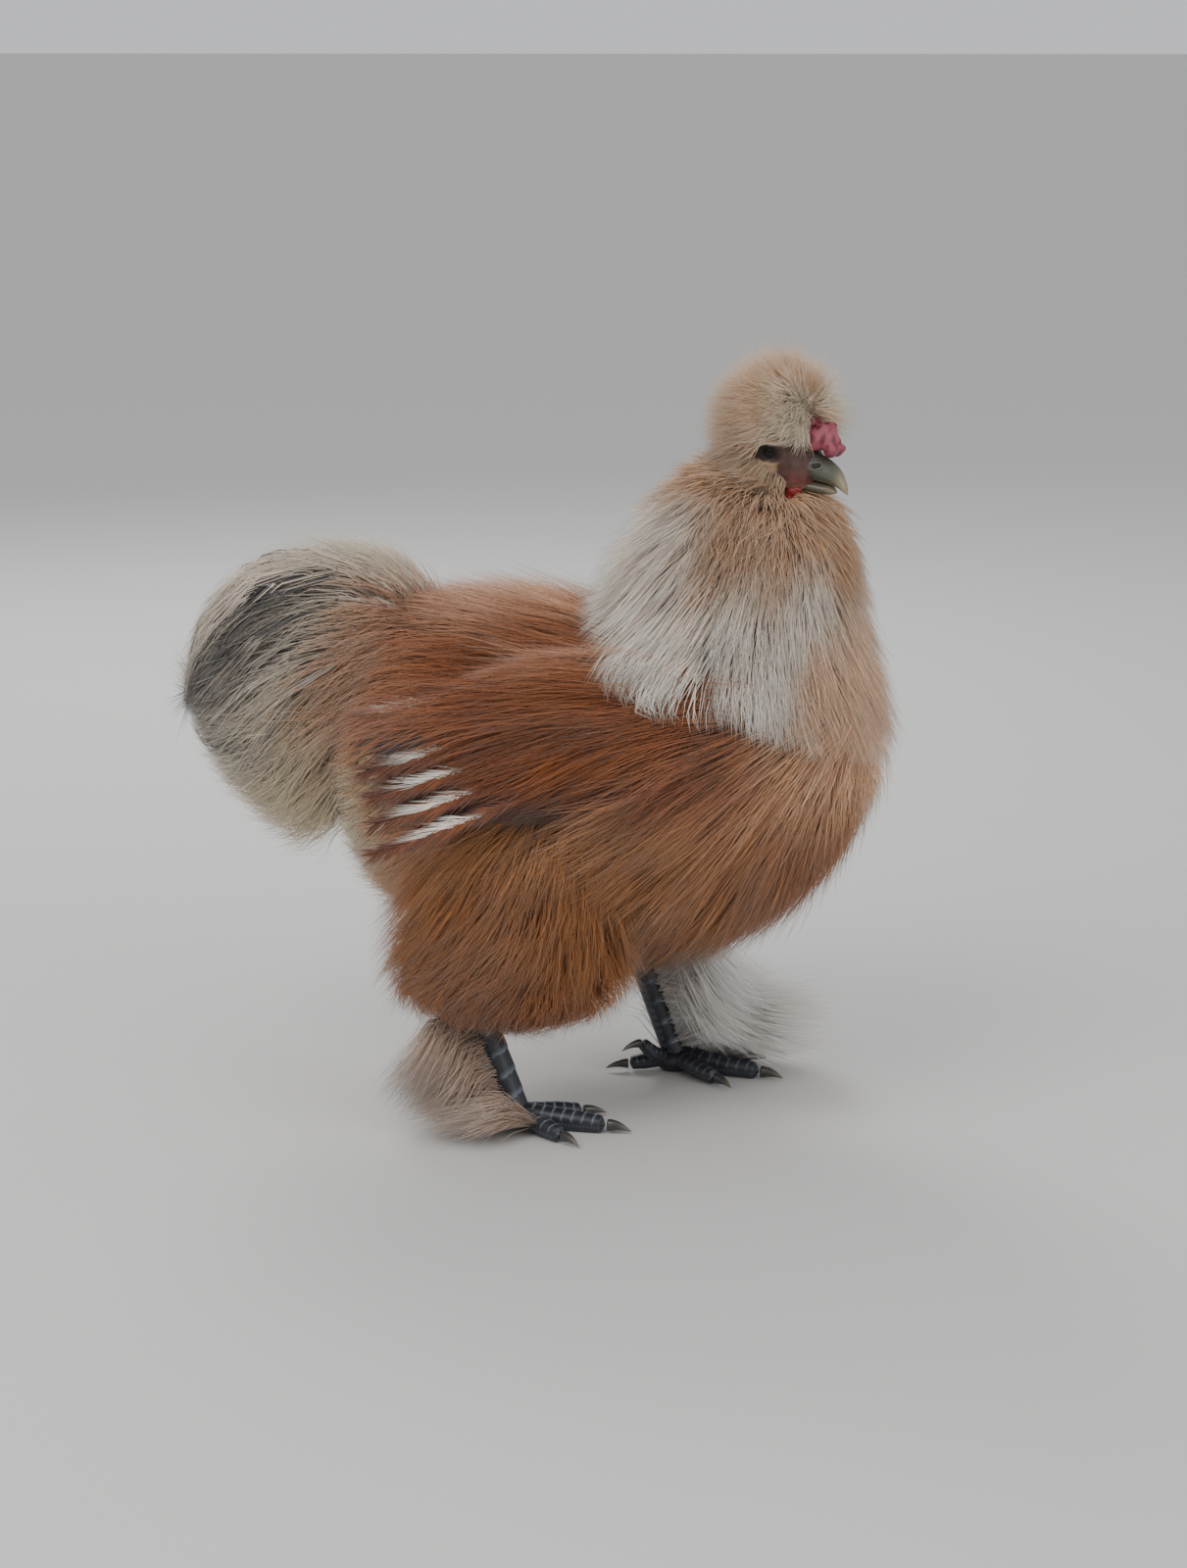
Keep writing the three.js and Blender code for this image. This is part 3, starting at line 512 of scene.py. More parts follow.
def skin_over(rings):
    """Points and triangles of a closed skin over rings, an array of ring, place round it, and x, y, z."""
    count, around = rings.shape[:2]
    points = np.concatenate([rings.reshape(-1, 3), rings[:1].mean(1), rings[-1:].mean(1)])
    total = count * around
    index = np.arange(total).reshape(count, around)
    ends = [cap(index[0], total)[:, ::-1], cap(index[-1], total + 1)]
    triangles = np.concatenate([band(index[:-1], index[1:]), *ends])
    corner = points[triangles]
    volume = np.einsum("nc,nc->n", corner[:, 0], np.cross(corner[:, 1], corner[:, 2])).sum()
    return points, triangles if volume >= 0 else triangles[:, ::-1]


def joined_shapes(shapes):
    """Several (points, triangles) as one."""
    base = np.cumsum([0] + [len(points) for points, _ in shapes])
    triangles = [t + b for (_, t), b in zip(shapes, base)]
    return np.concatenate([points for points, _ in shapes]), np.concatenate(triangles)


def loft_shape(mass, h):
    """The closed form of a mass at height h of its coat."""
    u = np.linspace(0.004, 0.996, 56)[:, None]
    return skin_over(mass.inner(*np.broadcast_arrays(u, circle(64), float(h))))


def ball_shape(middle, reach, turn=np.eye(3), around=32):
    """An ellipsoid; turn takes it from the head's frame."""
    polar = np.linspace(0.03, np.pi - 0.03, around)[:, None]
    v = circle(around)
    rings = [np.sin(polar) * np.cos(v), np.sin(polar) * np.sin(v), np.cos(polar) + 0 * v]
    return skin_over(np.stack(rings, -1) * np.asarray(reach, float) @ turn.T + middle)


def remeshed(name, shapes, voxel):
    """One closed mesh round several shapes, with voxel as its detail in millimetres, then smoothed."""
    obj = triangle_mesh(name, *joined_shapes(shapes))
    cover = obj.modifiers.new("cover", "REMESH")
    cover.mode = "VOXEL"
    cover.voxel_size = voxel * MM
    ease = obj.modifiers.new("ease", "SMOOTH")
    ease.factor = 0.5
    ease.iterations = 3
    bpy.context.view_layer.update()
    graph = bpy.context.evaluated_depsgraph_get()
    mesh = bpy.data.meshes.new_from_object(obj.evaluated_get(graph))
    obj.modifiers.clear()
    old = obj.data
    obj.data = mesh
    bpy.data.meshes.remove(old)
    mesh.shade_smooth()
    return obj


def of_points(mesh, what):
    """What a mesh states of each of its points, three numbers at a time."""
    values = np.zeros(len(mesh.vertices) * 3, np.float32)
    mesh.vertices.foreach_get(what, values)
    return values.reshape(-1, 3).astype(float)


def layout_points(mesh):
    """A mesh's points back in layout millimetres."""
    return (of_points(mesh, "co") - SHIFT) / MM


# Strands

STRAND_SIDES = 3
PATCH = 0.003
MOST_TRIANGLES = 190000
# Thickness of a strand from its root to just before its tip
STRAND_TAPER = [0.8, 1.0, 0.72, 0.4]
FLOOR_CLEAR = 0.5
STRAND_KEYS = ("paths", "out", "radius", "colours", "root_uv", "order")
roots_seen = []
root_colours = []


def strand_mesh(name, paths, out, radius, colours, root_uv, order):
    """Closed tapered strands. paths is strand, point, xyz, and out is where each one's flat side looks."""
    count, steps = paths.shape[:2]
    rings = steps - 1
    tangent = np.gradient(paths, axis=1)
    side = unit(np.cross(tangent, out[:, None, :]))
    up = unit(np.cross(side, tangent))
    taper = np.interp(np.linspace(0, 1, rings), np.linspace(0, 1, len(STRAND_TAPER)), STRAND_TAPER)
    r = radius[:, None] * taper[None, :]
    sections = []
    for a in math.pi / 2 + circle(STRAND_SIDES)[0]:
        section = side[:, :rings] * (r * math.cos(a))[..., None]
        section += up[:, :rings] * (0.6 * r * math.sin(a))[..., None]
        sections.append(paths[:, :rings] + section)
    points = np.stack(sections, 2).reshape(count, rings * STRAND_SIDES, 3)
    points = np.concatenate([points, paths[:, -1:]], 1)
    points[..., 2] = np.maximum(points[..., 2], FLOOR_CLEAR)
    per = points.shape[1]
    index = np.arange(per - 1).reshape(rings, STRAND_SIDES)
    pattern = np.concatenate([band(index[:-1], index[1:]), cap(index[-1], per - 1), [[2, 1, 0]]])
    triangles = (pattern[None] + (np.arange(count) * per)[:, None, None]).reshape(-1, 3)
    ring_of = np.concatenate([np.repeat(np.arange(rings), STRAND_SIDES), [rings]])
    shade = colours[:, ring_of].reshape(-1, 3)
    along = ring_of / rings
    across = (np.arange(per) % STRAND_SIDES) / STRAND_SIDES
    local = np.stack([0.2 * across[None] + order[:, None], np.broadcast_to(along, (count, per))], -1)
    uv = (root_uv[:, None, :] + PATCH * (local - 0.5)).reshape(-1, 2)
    return triangle_mesh(name, points.reshape(-1, 3), triangles, shade, uv)


def coat_pieces(name, strands):
    """Strands in pieces of MOST_TRIANGLES at most, from the front of the map to its back."""
    per = 6 * (strands["paths"].shape[1] - 2) + 4
    total = len(strands["paths"])
    parts = max(1, math.ceil(total * per / MOST_TRIANGLES))
    order = np.argsort(strands["root_uv"][:, 1], kind="stable")
    for k, rows in enumerate(np.array_split(order, parts)):
        piece = strand_mesh(f"{name}_{k + 1}", *(strands[key][rows] for key in STRAND_KEYS))
        finished(piece, PLUMAGE)


def roots_on(mass, count, weight, u_from=0.03, u_to=0.95):
    """Roots spread evenly over a mass, thinned by weight(place)."""
    rows, columns = 60, 72
    u = np.linspace(u_from, u_to, rows + 1)
    v = np.linspace(-np.pi, np.pi, columns + 1)
    grid = mass.shell(*np.meshgrid(u, v, indexing="ij"))
    corner = grid[:-1, :-1]
    area = np.linalg.norm(np.cross(grid[1:, :-1] - corner, grid[:-1, 1:] - corner), axis=-1)
    chance = (area * weight((grid[1:, 1:] + corner) / 2)).ravel()
    cell = rng.choice(rows * columns, size=count, p=chance / chance.sum())
    i, j = np.divmod(cell, columns)
    u = u_from + (i + rng.random(count)) * (u_to - u_from) / rows
    return u, -np.pi + (j + rng.random(count)) * 2 * np.pi / columns


def grown(mass, roots, per_tuft, run, turn, paint_by, steps, radius, root=-0.35, tip=1.0, ease=0.7,
          spread=2.2, fan=1.5, wave=1.0, droop=0.0, ragged=0.25, sweep=0.16, stray=0.06, rough=0.05,
          over=()):
    """Tufts on a mass. run and turn are how far each tuft goes along and round the mass.

    spread is how far a tuft's strands stand apart at their roots, fan how much more at their tips,
    wave how far they wander, sweep how far neighbouring tufts turn aside together, stray the share of
    wisps that stand out from the rest, rough how uneven the mass's surface is, and over the wings that
    they lie on.
    """
    tufts = len(roots[0])
    places = mass.at(roots[0], roots[1], np.full(tufts, 1.0))
    aside = sweep * patchy(places, 26) + rng.normal(0, 0.45 * sweep, tufts)
    lift = rough * patchy(places, 17, 4.0)
    u0, v0 = (np.repeat(a, per_tuft) for a in roots)
    count = len(u0)
    length = rng.uniform(0.8, 1.12, tufts) * (1 + 0.16 * patchy(places, 11, 2.0))
    length = np.repeat(length, per_tuft) * rng.uniform(1 - ragged, 1.06, count)
    du = np.repeat(np.broadcast_to(run, tufts), per_tuft) * length
    dv = np.repeat(np.broadcast_to(turn, tufts) + aside, per_tuft)
    top = np.repeat(np.minimum(rng.normal(tip, 0.08, tufts), tip + 0.1) + lift, per_tuft)
    top = top - np.abs(rng.normal(0, 0.08, count))
    wisp = rng.random(count) < stray
    top = np.where(wisp, top + 0.5 * mass.coat * rng.uniform(0.3, 1, count) + 0.05, top)
    t = np.linspace(0, 1, steps)[None, :]
    h = root + (top[:, None] - root) * t**ease
    paths = mass.at(u0[:, None] + du[:, None] * t, v0[:, None] + dv[:, None] * t, h)
    out = unit(mass.at(u0, v0, np.full(count, 1.0)) - mass.at(u0, v0, np.full(count, 0.0)))
    side = unit(np.cross(paths[:, -1] - paths[:, 0], out))
    off = rng.normal(0, spread, count)[:, None]
    rise = rng.normal(0, 0.5 * spread, count)[:, None]
    opening = 1 + (fan - 1) * t
    swing = np.pi * t * rng.uniform(0.8, 1.9, count)[:, None]
    wander = wave * np.sin(swing + rng.uniform(0, 6.3, count)[:, None])
    paths = paths + side[:, None] * (off * opening + wander * t)[..., None]
    paths = paths + out[:, None] * (rise * opening * (0.3 + 0.7 * t))[..., None]
    paths[..., 2] -= droop * t**2
    for wing in over:
        paths = laid_over(paths, wing, 3.0)
    return strands_of(paths, out, per_tuft, radius, paint_by, mass_map(u0, v0))


def mass_map(u, v):
    """A mass's unwrap: round it from left to right, and along it from bottom to top."""
    return np.stack([0.02 + 0.96 * ((v / (2 * np.pi) + 0.5) % 1), 0.02 + 0.96 * np.clip(u, 0, 1)], -1)


def strands_of(paths, out, per_tuft, radius, paint_by, root_uv):
    """The finished description of a coat's strands, which come tuft by tuft."""
    count, steps = paths.shape[:2]
    noise = np.repeat(rng.normal(0, 1, count // per_tuft), per_tuft)
    t = np.broadcast_to(np.linspace(0, 1, steps), (count, steps))
    colours = paint_by(paths[:, steps // 2], t, noise)
    colours = colours * (1 + 0.1 * rng.normal(0, 1, count))[:, None, None].clip(0.7, 1.3)
    roots_seen.append(paths[::per_tuft, 0])
    root_colours.append(colours[::per_tuft, 1])
    return {
        "paths": paths,
        "out": out,
        "radius": radius * rng.uniform(0.75, 1.25, count),
        "colours": colours,
        "root_uv": root_uv,
        "order": np.tile(np.arange(per_tuft) / per_tuft, count // per_tuft),
    }


def merged(*sets):
    return {key: np.concatenate([s[key] for s in sets]) for key in STRAND_KEYS}


def shaded(base, tip, t, root_shading=0.62, tip_from=0.35):
    """Colours along strands: painted shade at the root, where the strands shade each other, then base, then
    tip. root_shading is the root's brightness against the base, and above 1 it is painted light.
    """
    colour = mix(base[:, None, :], tip[:, None, :], smooth(t, tip_from, 1))
    return colour * (root_shading + (1 - root_shading) * smooth(t, 0, 0.4))[..., None]


def varied(colour, noise, amount, most=0.3):
    """Colours made lighter or darker by a share of noise, and by most at the most."""
    return colour * (1 + amount * noise)[:, None].clip(1 - most, 1 + most)


# Plumage colours, by place on the bird

def paint_torso(p, t, noise):
    x, y, z = p.T
    loose = 10 * patchy(p, 38)
    base = dyed(
        "flank",
        breast=smooth(x + loose, 78, 118) * smooth(z, 120, 165),
        breast_low=smooth(x, 60, 110) * smooth(z + loose, 165, 120),
        # Darker towards the bottom of the body: partly a darker buff-tan and partly painted shade under the
        # belly.
        belly=0.7 * smooth(z, 100, 70) * smooth(x, -70, -20),
        rust=smooth(z + 0.6 * loose, 150, 172) * smooth(x + 0.4 * loose, 112, 82) * smooth(x, -100, -72),
        # The pale back colour lightens the top of the back as painted sunlight from above.
        back=0.75 * smooth(z + loose, 222, 246) * smooth(x, 100, 60),
        saddle=smooth(x + loose, -42, -82) * smooth(z, 168, 200),
        cream=smooth(x + loose, -76, -104) * smooth(z, 190, 150),
    )
    base = base * (1 + 0.11 * noise)[:, None].clip(0.7, 1.35)
    return shaded(base, dyed(base, cream=0.14 + 0.1 * np.clip(noise, -1, 2)), t, root_shading=0.76)


def paint_wing(p, t, noise):
    z = p[:, 2]
    # The wing's lower edge is darker: partly its own dark rust and partly a painted shadow where it
    # overhangs the thigh and flank.
    edge = smooth(z + 6 * patchy(p, 22), 180, 160)
    # The pale back colour lightens the wing's top as painted sunlight from above.
    base = dyed("rust", rust_dark=0.95 * edge, back=0.45 * smooth(z, 212, 236))
    base = varied(base, noise, 0.22, 0.5)
    return shaded(base, dyed(base, gold=(0.25 + 0.16 * np.clip(noise, -1, 1.5)) * (1 - 0.85 * edge)), t)


def paint_neck(p, t, noise):
    x, y, z = p.T
    loose = 8 * patchy(p, 24)
    front = smooth(x + 0.5 * loose + 16 * smooth(z, 248, 216), 116, 142)
    white = smooth(z + loose, 270, 236) * (1 - 0.85 * front)
    white = np.maximum(white, 0.9 * smooth(x + 0.6 * loose, 76, 50) * smooth(z, 300, 280))
    gold = 0.8 * smooth(noise, 0.3, 1.2) * smooth(z, 290, 262)
    base = dyed("neck_buff", gold=gold, breast=front * smooth(z, 262, 225))
    tip = dyed(base, hackle=np.clip(0.34 + 0.66 * white, 0, 1) * (1 - 0.4 * front))
    base = dyed(base, hackle=0.85 * white * smooth(noise, 1.5, 0.2))
    return shaded(base, tip, t, root_shading=0.78, tip_from=0.1)


def paint_tail(p, t, noise):
    x, y, z = p.T
    loose = 12 * patchy(p, 30)
    grey = smooth(x + loose, -122, -146) * smooth(z + loose, 252, 226) * smooth(z + loose, 150, 172)
    saddle = smooth(x + loose, -128, -106) * smooth(z + 0.5 * loose, 262, 244) * smooth(z + loose, 132, 156)
    base = dyed(
        "cream",
        tail_pale=smooth(z, 180, 215),
        tail_grey=(0.35 + 0.55 * smooth(noise, -0.8, 0.2)) * grey,
        black=smooth(noise, 0.7, 1.1) * grey,
        saddle=0.92 * saddle,
        rust=0.6 * saddle * smooth(noise, 0.2, 1.2),
    )
    return shaded(base, dyed(base, cream=0.5 - 0.25 * grey), t, root_shading=0.66)


def paint_thigh(p, t, noise):
    z = p[:, 2]
    base = dyed("flank", thigh=smooth(z, 150, 105), thigh_low=smooth(z + 8 * patchy(p, 25), 84, 58))
    base = varied(base, noise, 0.1)
    return shaded(base, dyed(base, cream=0.13 + 0.09 * np.clip(noise, -1, 2)), t, root_shading=0.8)


def paint_crest(p, t, noise):
    fore, left, up = in_head(p).T
    pale = smooth(fore + 5 * patchy(p, 14), -2, 12) * smooth(up, 38, 26) * smooth(np.abs(left), 2, 8)
    base = dyed("crest", crest_pale=pale, neck_buff=0.5 * smooth(fore, -12, -30))
    base = varied(base, noise, 0.07, 0.2)
    # The crest's roots are painted lighter than the base, as painted light that offsets the shade among its
    # strands.
    return shaded(base, dyed(base, crest_pale=0.45), t, root_shading=1.12)


def paint_cheek(p, t, noise):
    base = dyed("cheek", crest_pale=0.25 + 0.45 * smooth(in_head(p)[:, 2], -2, 8))
    base = varied(base, noise, 0.08, 0.25)
    return shaded(base, dyed(base, crest_pale=0.45), t, root_shading=0.9)


def boot_paint(name):
    def paint_boot(p, t, noise):
        base = varied(INK[name], noise, 0.07, 0.2)
        base = dyed(base, cheek=0.16 * smooth(patchy(p, 18), 0.1, 0.8))
        return shaded(base, dyed(base, boot_far=0.35), t, root_shading=0.92)

    return paint_boot


def streaked(p, t, noise):
    """Dark, grey and pale plumes side by side."""
    base = dyed("black", tail_grey=0.5 * smooth(noise, -0.6, 0), tail_pale=smooth(noise, 0, 0.3))
    return shaded(base, base, t, root_shading=0.8)


def barb_paint(white, dark_vane):
    """Barbs of a flight feather, which is dark, or else rust with white by the weight of each barb."""

    def paint_barb(p, t, noise):
        held = noise.clip(-1, 1)
        if dark_vane:
            base = dyed("black", tail_grey=0.25 + 0.1 * held)
        else:
            hackle = 0.95 * white * smooth(noise, -1.6, -0.8)
            base = dyed("rust", rust_dark=0.45 + 0.25 * held, hackle=hackle)
        return shaded(base, base, t, root_shading=0.85)

    return paint_barb


# Coat of each mass

def clear_of(masses, scale=1.0):
    """A weight that leaves out places well inside other masses."""

    def weight(grid):
        flat = grid.reshape(-1, 3)
        keep = np.ones(len(flat))
        for mass in masses:
            keep[mass.holds(flat, scale)] = 0
        return keep.reshape(grid.shape[:-1])

    return weight


def torso_coat():
    under_wings = clear_of(wing_masses.values(), 1.08)
    under_rest = clear_of([neck_mass, tail_mass, *thigh_masses.values()], 0.62)
    roots = roots_on(torso_mass, 3050, lambda grid: under_wings(grid) * under_rest(grid))
    u, v = roots
    around = np.abs(v) / np.pi
    chest = np.clip(1 - 2.2 * u, 0, 1)
    below = np.sin(np.abs(v) / 2)
    fall = smooth(around, 0.32, 0.56) * smooth(around, 0.98, 0.78)
    run = 0.17 - 0.06 * fall - 0.05 * chest
    turn = np.sign(v) * (0.1 + 0.3 * fall + 0.45 * chest * below) * (1 - 0.8 * below**8)
    turn = turn + np.sign(v) * 0.2 * smooth(around, 0.12, 0.25) * smooth(around, 0.5, 0.36)
    return grown(torso_mass, roots, 8, run, turn, paint_torso, 3, 0.4, spread=3.2, wave=2.4, fan=1.8,
                 over=wing_masses.values())


def neck_coat():
    roots = roots_on(neck_mass, 1800, clear_of([torso_mass], 0.6), u_from=0.1, u_to=0.66)
    long_locks = grown(neck_mass, roots, 7, 0.27, 0, paint_neck, 4, 0.38, root=-0.2, ease=0.75, wave=2.4,
                       fan=1.2, sweep=0.12, ragged=0.4, stray=0.09, over=wing_masses.values())
    roots = roots_on(neck_mass, 700, clear_of([]), u_from=0.03, u_to=0.34)
    down = grown(neck_mass, roots, 7, 0.1, 0, paint_neck, 4, 0.36, root=-0.1, tip=0.96, ease=0.4, wave=1.6,
                 fan=2.0)
    return face_clear(merged(long_locks, down))


def tail_coat():
    roots = roots_on(tail_mass, 1350, clear_of([torso_mass], 0.7), u_from=0.05, u_to=0.82)
    u, v = roots
    drop = 0.2 + 0.5 * u
    turn = np.sign(v) * drop * np.sin(np.minimum(np.pi, np.abs(v) + 0.25))
    return grown(tail_mass, roots, 7, 0.33, turn, paint_tail, 4, 0.4, spread=2.8, wave=3.4, droop=5,
                 ragged=0.35, fan=1.6, sweep=0.3, stray=0.12, rough=0.14)


SICKLES = 130


def sickles():
    """Long dark and pale downy plumes that arch out of the tail and hang at its end."""
    u = rng.uniform(0.36, 0.72, SICKLES)
    v = rng.uniform(-2.0, 2.0, SICKLES)
    turn = np.sign(v) * 0.55
    return grown(tail_mass, (u, v), 9, 0.44, turn, streaked, 4, 0.46, root=0.5, tip=1.15, spread=0.8,
                 wave=2.0, fan=1.6, droop=12, stray=0)


def thigh_coat(side):
    mass = thigh_masses[side]
    roots = roots_on(mass, 1100, clear_of([torso_mass], 0.62), u_from=0.06, u_to=0.88)
    turn = 0.14 * np.sin(roots[1]) - 0.05
    return grown(mass, roots, 8, 0.22, turn, paint_thigh, 3, 0.4, spread=3.2, wave=2.4, fan=1.8)


def wing_coat(side):
    mass = wing_masses[side]
    sign = SIDES[side]
    roots = roots_on(mass, 1000, lambda grid: (sign * grid[..., 1] > 66) * 1.0, u_from=0.03, u_to=0.76)
    return grown(mass, roots, 8, 0.22, sign * 0.16, paint_wing, 3, 0.4, spread=2.6, wave=2.4, fan=1.6,
                 sweep=0.22)


def crest_coat():
    def above_face(grid):
        """Off the parting behind the comb and off the face."""
        fore, left, up = np.moveaxis(in_head(grid), -1, 0)
        parting = (fore > 12) & (np.abs(left) < 10) & (up < 26)
        low_front = (fore > -8) & (up < 15)
        return (~parting & ~low_front) * 1.0

    def off_comb(grid):
        fore, left, up = np.moveaxis(in_head(grid), -1, 0)
        return ~((fore > 12) & (np.abs(left) < 14) & (up < 25)) * 1.0

    roots = roots_on(crest_mass, 1450, above_face, u_from=0.01, u_to=0.84)
    u = roots[0]
    wisps = grown(crest_mass, roots, 8, 0.15 - 0.05 * u, rng.normal(0, 0.1, len(u)), paint_crest, 3, 0.28,
                  root=-0.3, tip=0.99, ease=0.8, spread=1.4, fan=2.3, wave=1.6, ragged=0.3, stray=0.14)
    roots = roots_on(crest_mass, 800, off_comb, u_from=0.01, u_to=0.84)
    down = grown(crest_mass, roots, 7, 0.16, rng.normal(0, 0.2, len(roots[0])), paint_crest, 3, 0.45,
                 root=0.1, tip=0.72, ease=0.9, spread=2.4, fan=2.0, wave=1.4, ragged=0.3, stray=0)
    return face_clear(merged(wisps, down))


# What the plumage leaves in view from the side: how far forward and up one looks past each millimetre to the
# side, and each place ahead of and above the eye, with its reach
LOOK_PAST = {"fore": 0.55, "up": 0.22}
EYE_OPENING = (6.8, 3.1)
LORE = {"length": 20, "fall": 0.35, "half": 3.2}
WATTLE_VIEW = {"ahead": 12, "below": 16, "reach": 3.4}
COMB_VIEW = {"fore": 24, "up": 9, "reach": 9, "past_fore": 0.67, "past_up": 0.27, "far_side": 12}


def face_clear(strands):
    """Leaves out the strands that hang before an eye, a wattle or the comb, or between them and the beak."""
    paths = strands["paths"]
    midway = (paths[:, 1:] + paths[:, :-1]) / 2
    fore, left, up = np.moveaxis(in_head(np.concatenate([paths, midway], 1)), -1, 0)
    out = np.abs(left) - EYE["side"]
    ahead = fore - EYE["fore"] - LOOK_PAST["fore"] * out
    above = up - EYE["up"] - LOOK_PAST["up"] * out
    at_eye = np.hypot(ahead / EYE_OPENING[0], above / EYE_OPENING[1]) < 1
    on_lore = np.abs(above + LORE["fall"] * ahead) < LORE["half"]
    to_beak = (ahead > 0) & (ahead < LORE["length"]) & on_lore
    at_wattle = np.hypot(ahead - WATTLE_VIEW["ahead"], above + WATTLE_VIEW["below"]) < WATTLE_VIEW["reach"]
    near_side = np.maximum(-left, 0)
    comb_ahead = fore - COMB_VIEW["fore"] - COMB_VIEW["past_fore"] * near_side
    comb_above = up - COMB_VIEW["up"] - COMB_VIEW["past_up"] * near_side
    at_comb = (np.hypot(comb_ahead, comb_above) < COMB_VIEW["reach"]) & (left < COMB_VIEW["far_side"])
    keep = ~(((out > -5) & (at_eye | to_beak | at_wattle)) | at_comb).any(axis=1)
    return {key: strands[key][keep] for key in STRAND_KEYS}


def free_strands(starts, ways, lengths, outs, per_tuft, paint_by, radius, root_uv, droop=0.25, steps=4,
                 spread=1.0, fan=1.6, wave=0.6):
    """Tufts from given roots, along given ways, that bend down as they go."""
    tufts = len(starts)
    count = tufts * per_tuft
    starts, ways, outs, root_uv = (np.repeat(a, per_tuft, axis=0) for a in (starts, ways, outs, root_uv))
    lengths = np.repeat(lengths, per_tuft) * rng.uniform(0.7, 1.08, count)
    t = np.linspace(0, 1, steps)[None, :]
    side = unit(np.cross(ways, outs))
    off = rng.normal(0, spread, count)[:, None]
    rise = rng.normal(0, 0.5 * spread, count)[:, None]
    bend = rng.normal(0, wave, count)[:, None]
    opening = 1 + (fan - 1) * t
    paths = starts[:, None] + ways[:, None] * (lengths[:, None] * t)[..., None]
    paths = paths + side[:, None] * (off * opening + bend * np.sin(2.4 * t))[..., None]
    paths = paths + outs[:, None] * (rise * opening * t)[..., None]
    paths[..., 2] -= (droop * lengths)[:, None] * t**2
    return strands_of(paths, outs, per_tuft, radius, paint_by, root_uv)


SKULL_MIDDLE = np.array([-1.0, 0.0, -1.0])
SKULL_REACH = np.array([22.0, 17.5, 18.5])
CHEEK_TUFTS = 1400


def cheek_coat():
    """Ear muffs, cheeks, brows, throat and beard, which leave the face bare from the eye to the beak."""
    way = unit(rng.normal(size=(14000, 3)))
    root = SKULL_MIDDLE + way * SKULL_REACH
    fore, left, up = root.T
    round_eye = ((fore - 6) / 6.4) ** 2 + ((up - 0.8) / 3.4) ** 2 < 1
    to_beak = (fore > 7) & (up > -11 + 0.5 * (17 - fore)) & (up < 7)
    keep = ~round_eye & ~to_beak & (up < 14) & (fore < 17)
    way, root = way[keep], root[keep]
    chosen = np.argsort(rng.random(len(root)) / (1 + 1.6 * smooth(root[:, 2], 1, -5)))[:CHEEK_TUFTS]
    way, root = way[chosen], root[chosen]
    fore, left, up = root.T
    back = smooth(fore, 14, -6)
    brow = smooth(up, 3, 7)[:, None]
    flow = np.stack([-0.15 - 0.75 * back, 0.3 * np.sign(left), -0.95 + 0.35 * back], -1)
    flow = flow * (1 - brow) + brow * np.stack([-0.5 + 0 * fore, 0.7 * np.sign(left), 0.5 + 0 * fore], -1)
    lie = unit(flow + (0.5 + 0.35 * smooth(up, 0, -6))[:, None] * way)
    length = (11 + 8 * smooth(fore, 12, -8) + 8 * smooth(up, -4, -14)) * rng.uniform(0.6, 1.1, len(root))
    root_uv = np.stack([0.5 + np.arctan2(left, fore) / (2 * np.pi) * 0.94, 0.5 + up / 44], -1)
    starts = head_point(root - 0.8 * way)
    return face_clear(free_strands(starts, head_axis(lie), length, head_axis(way), 7, paint_cheek, 0.26,
                                   root_uv, droop=0.1, steps=3, fan=2.0, wave=1.0))


def heading(yaw, reach, side=0.0):
    """Level places, reach ahead and side to the left on a heading in degrees."""
    a = np.radians(yaw)
    x = reach * np.cos(a) - side * np.sin(a)
    y = reach * np.sin(a) + side * np.cos(a)
    return np.stack(np.broadcast_arrays(x, y, 0.0 * a), -1)


def foot_point(side):
    return np.array([FOOT[side]["x"], FOOT[side]["y"], 0.0])


def shank_line(side):
    low = foot_point(side) + [0, 0, ANKLE_HEIGHT]
    top = foot_point(side) + heading(FOOT[side]["yaw"], -HOCK_BACK) + [0, 0, HOCK_HEIGHT]
    return low, top


# Toes: heading on the left foot, length, rise of the claw end, radius
TOES = {
    "inner": (-34, 33, 0, 4.3),
    "middle": (-2, 44, 0, 4.8),
    "outer": (33, 35, 0, 4.4),
    "hind": (208, 22, 0, 3.9),
    "fifth": (236, 20, 13, 3.5),
}
# Height of a toe's middle at the foot and at its end
TOE_MIDDLE = 6.2
TOE_END = 3.6
CLAW_LENGTH = 10
# Feathering of each foot: the headings it fans between, its rise, lengths and count, how much it gathers at
# the first heading, how far out along the outer toe it is rooted, and its strands' radius
BOOTS = {
    "left": {"from": -32, "to": 118, "rise": 31, "lengths": (42, 68), "tufts": 1350,
             "gather": 1.4, "out_on_toe": 0.72, "radius": 0.56, "paint": "boot_far"},
    "right": {"from": -172, "to": -122, "rise": 11, "lengths": (34, 58), "tufts": 600,
              "gather": 1, "out_on_toe": 0.4, "radius": 0.46, "paint": "boot_near"},
}


def toe_line(side, toe):
    """Heading of one toe and four places along its middle."""
    yaw, length, rise, radius = TOES[toe]
    yaw = FOOT[side]["yaw"] + SIDES[side] * yaw
    t = np.linspace(0, 1, 4)
    points = foot_point(side) + heading(yaw + 0 * t, length * t)
    points[:, 2] = TOE_MIDDLE + (TOE_END - TOE_MIDDLE) * t + rise * t * t
    return yaw, points


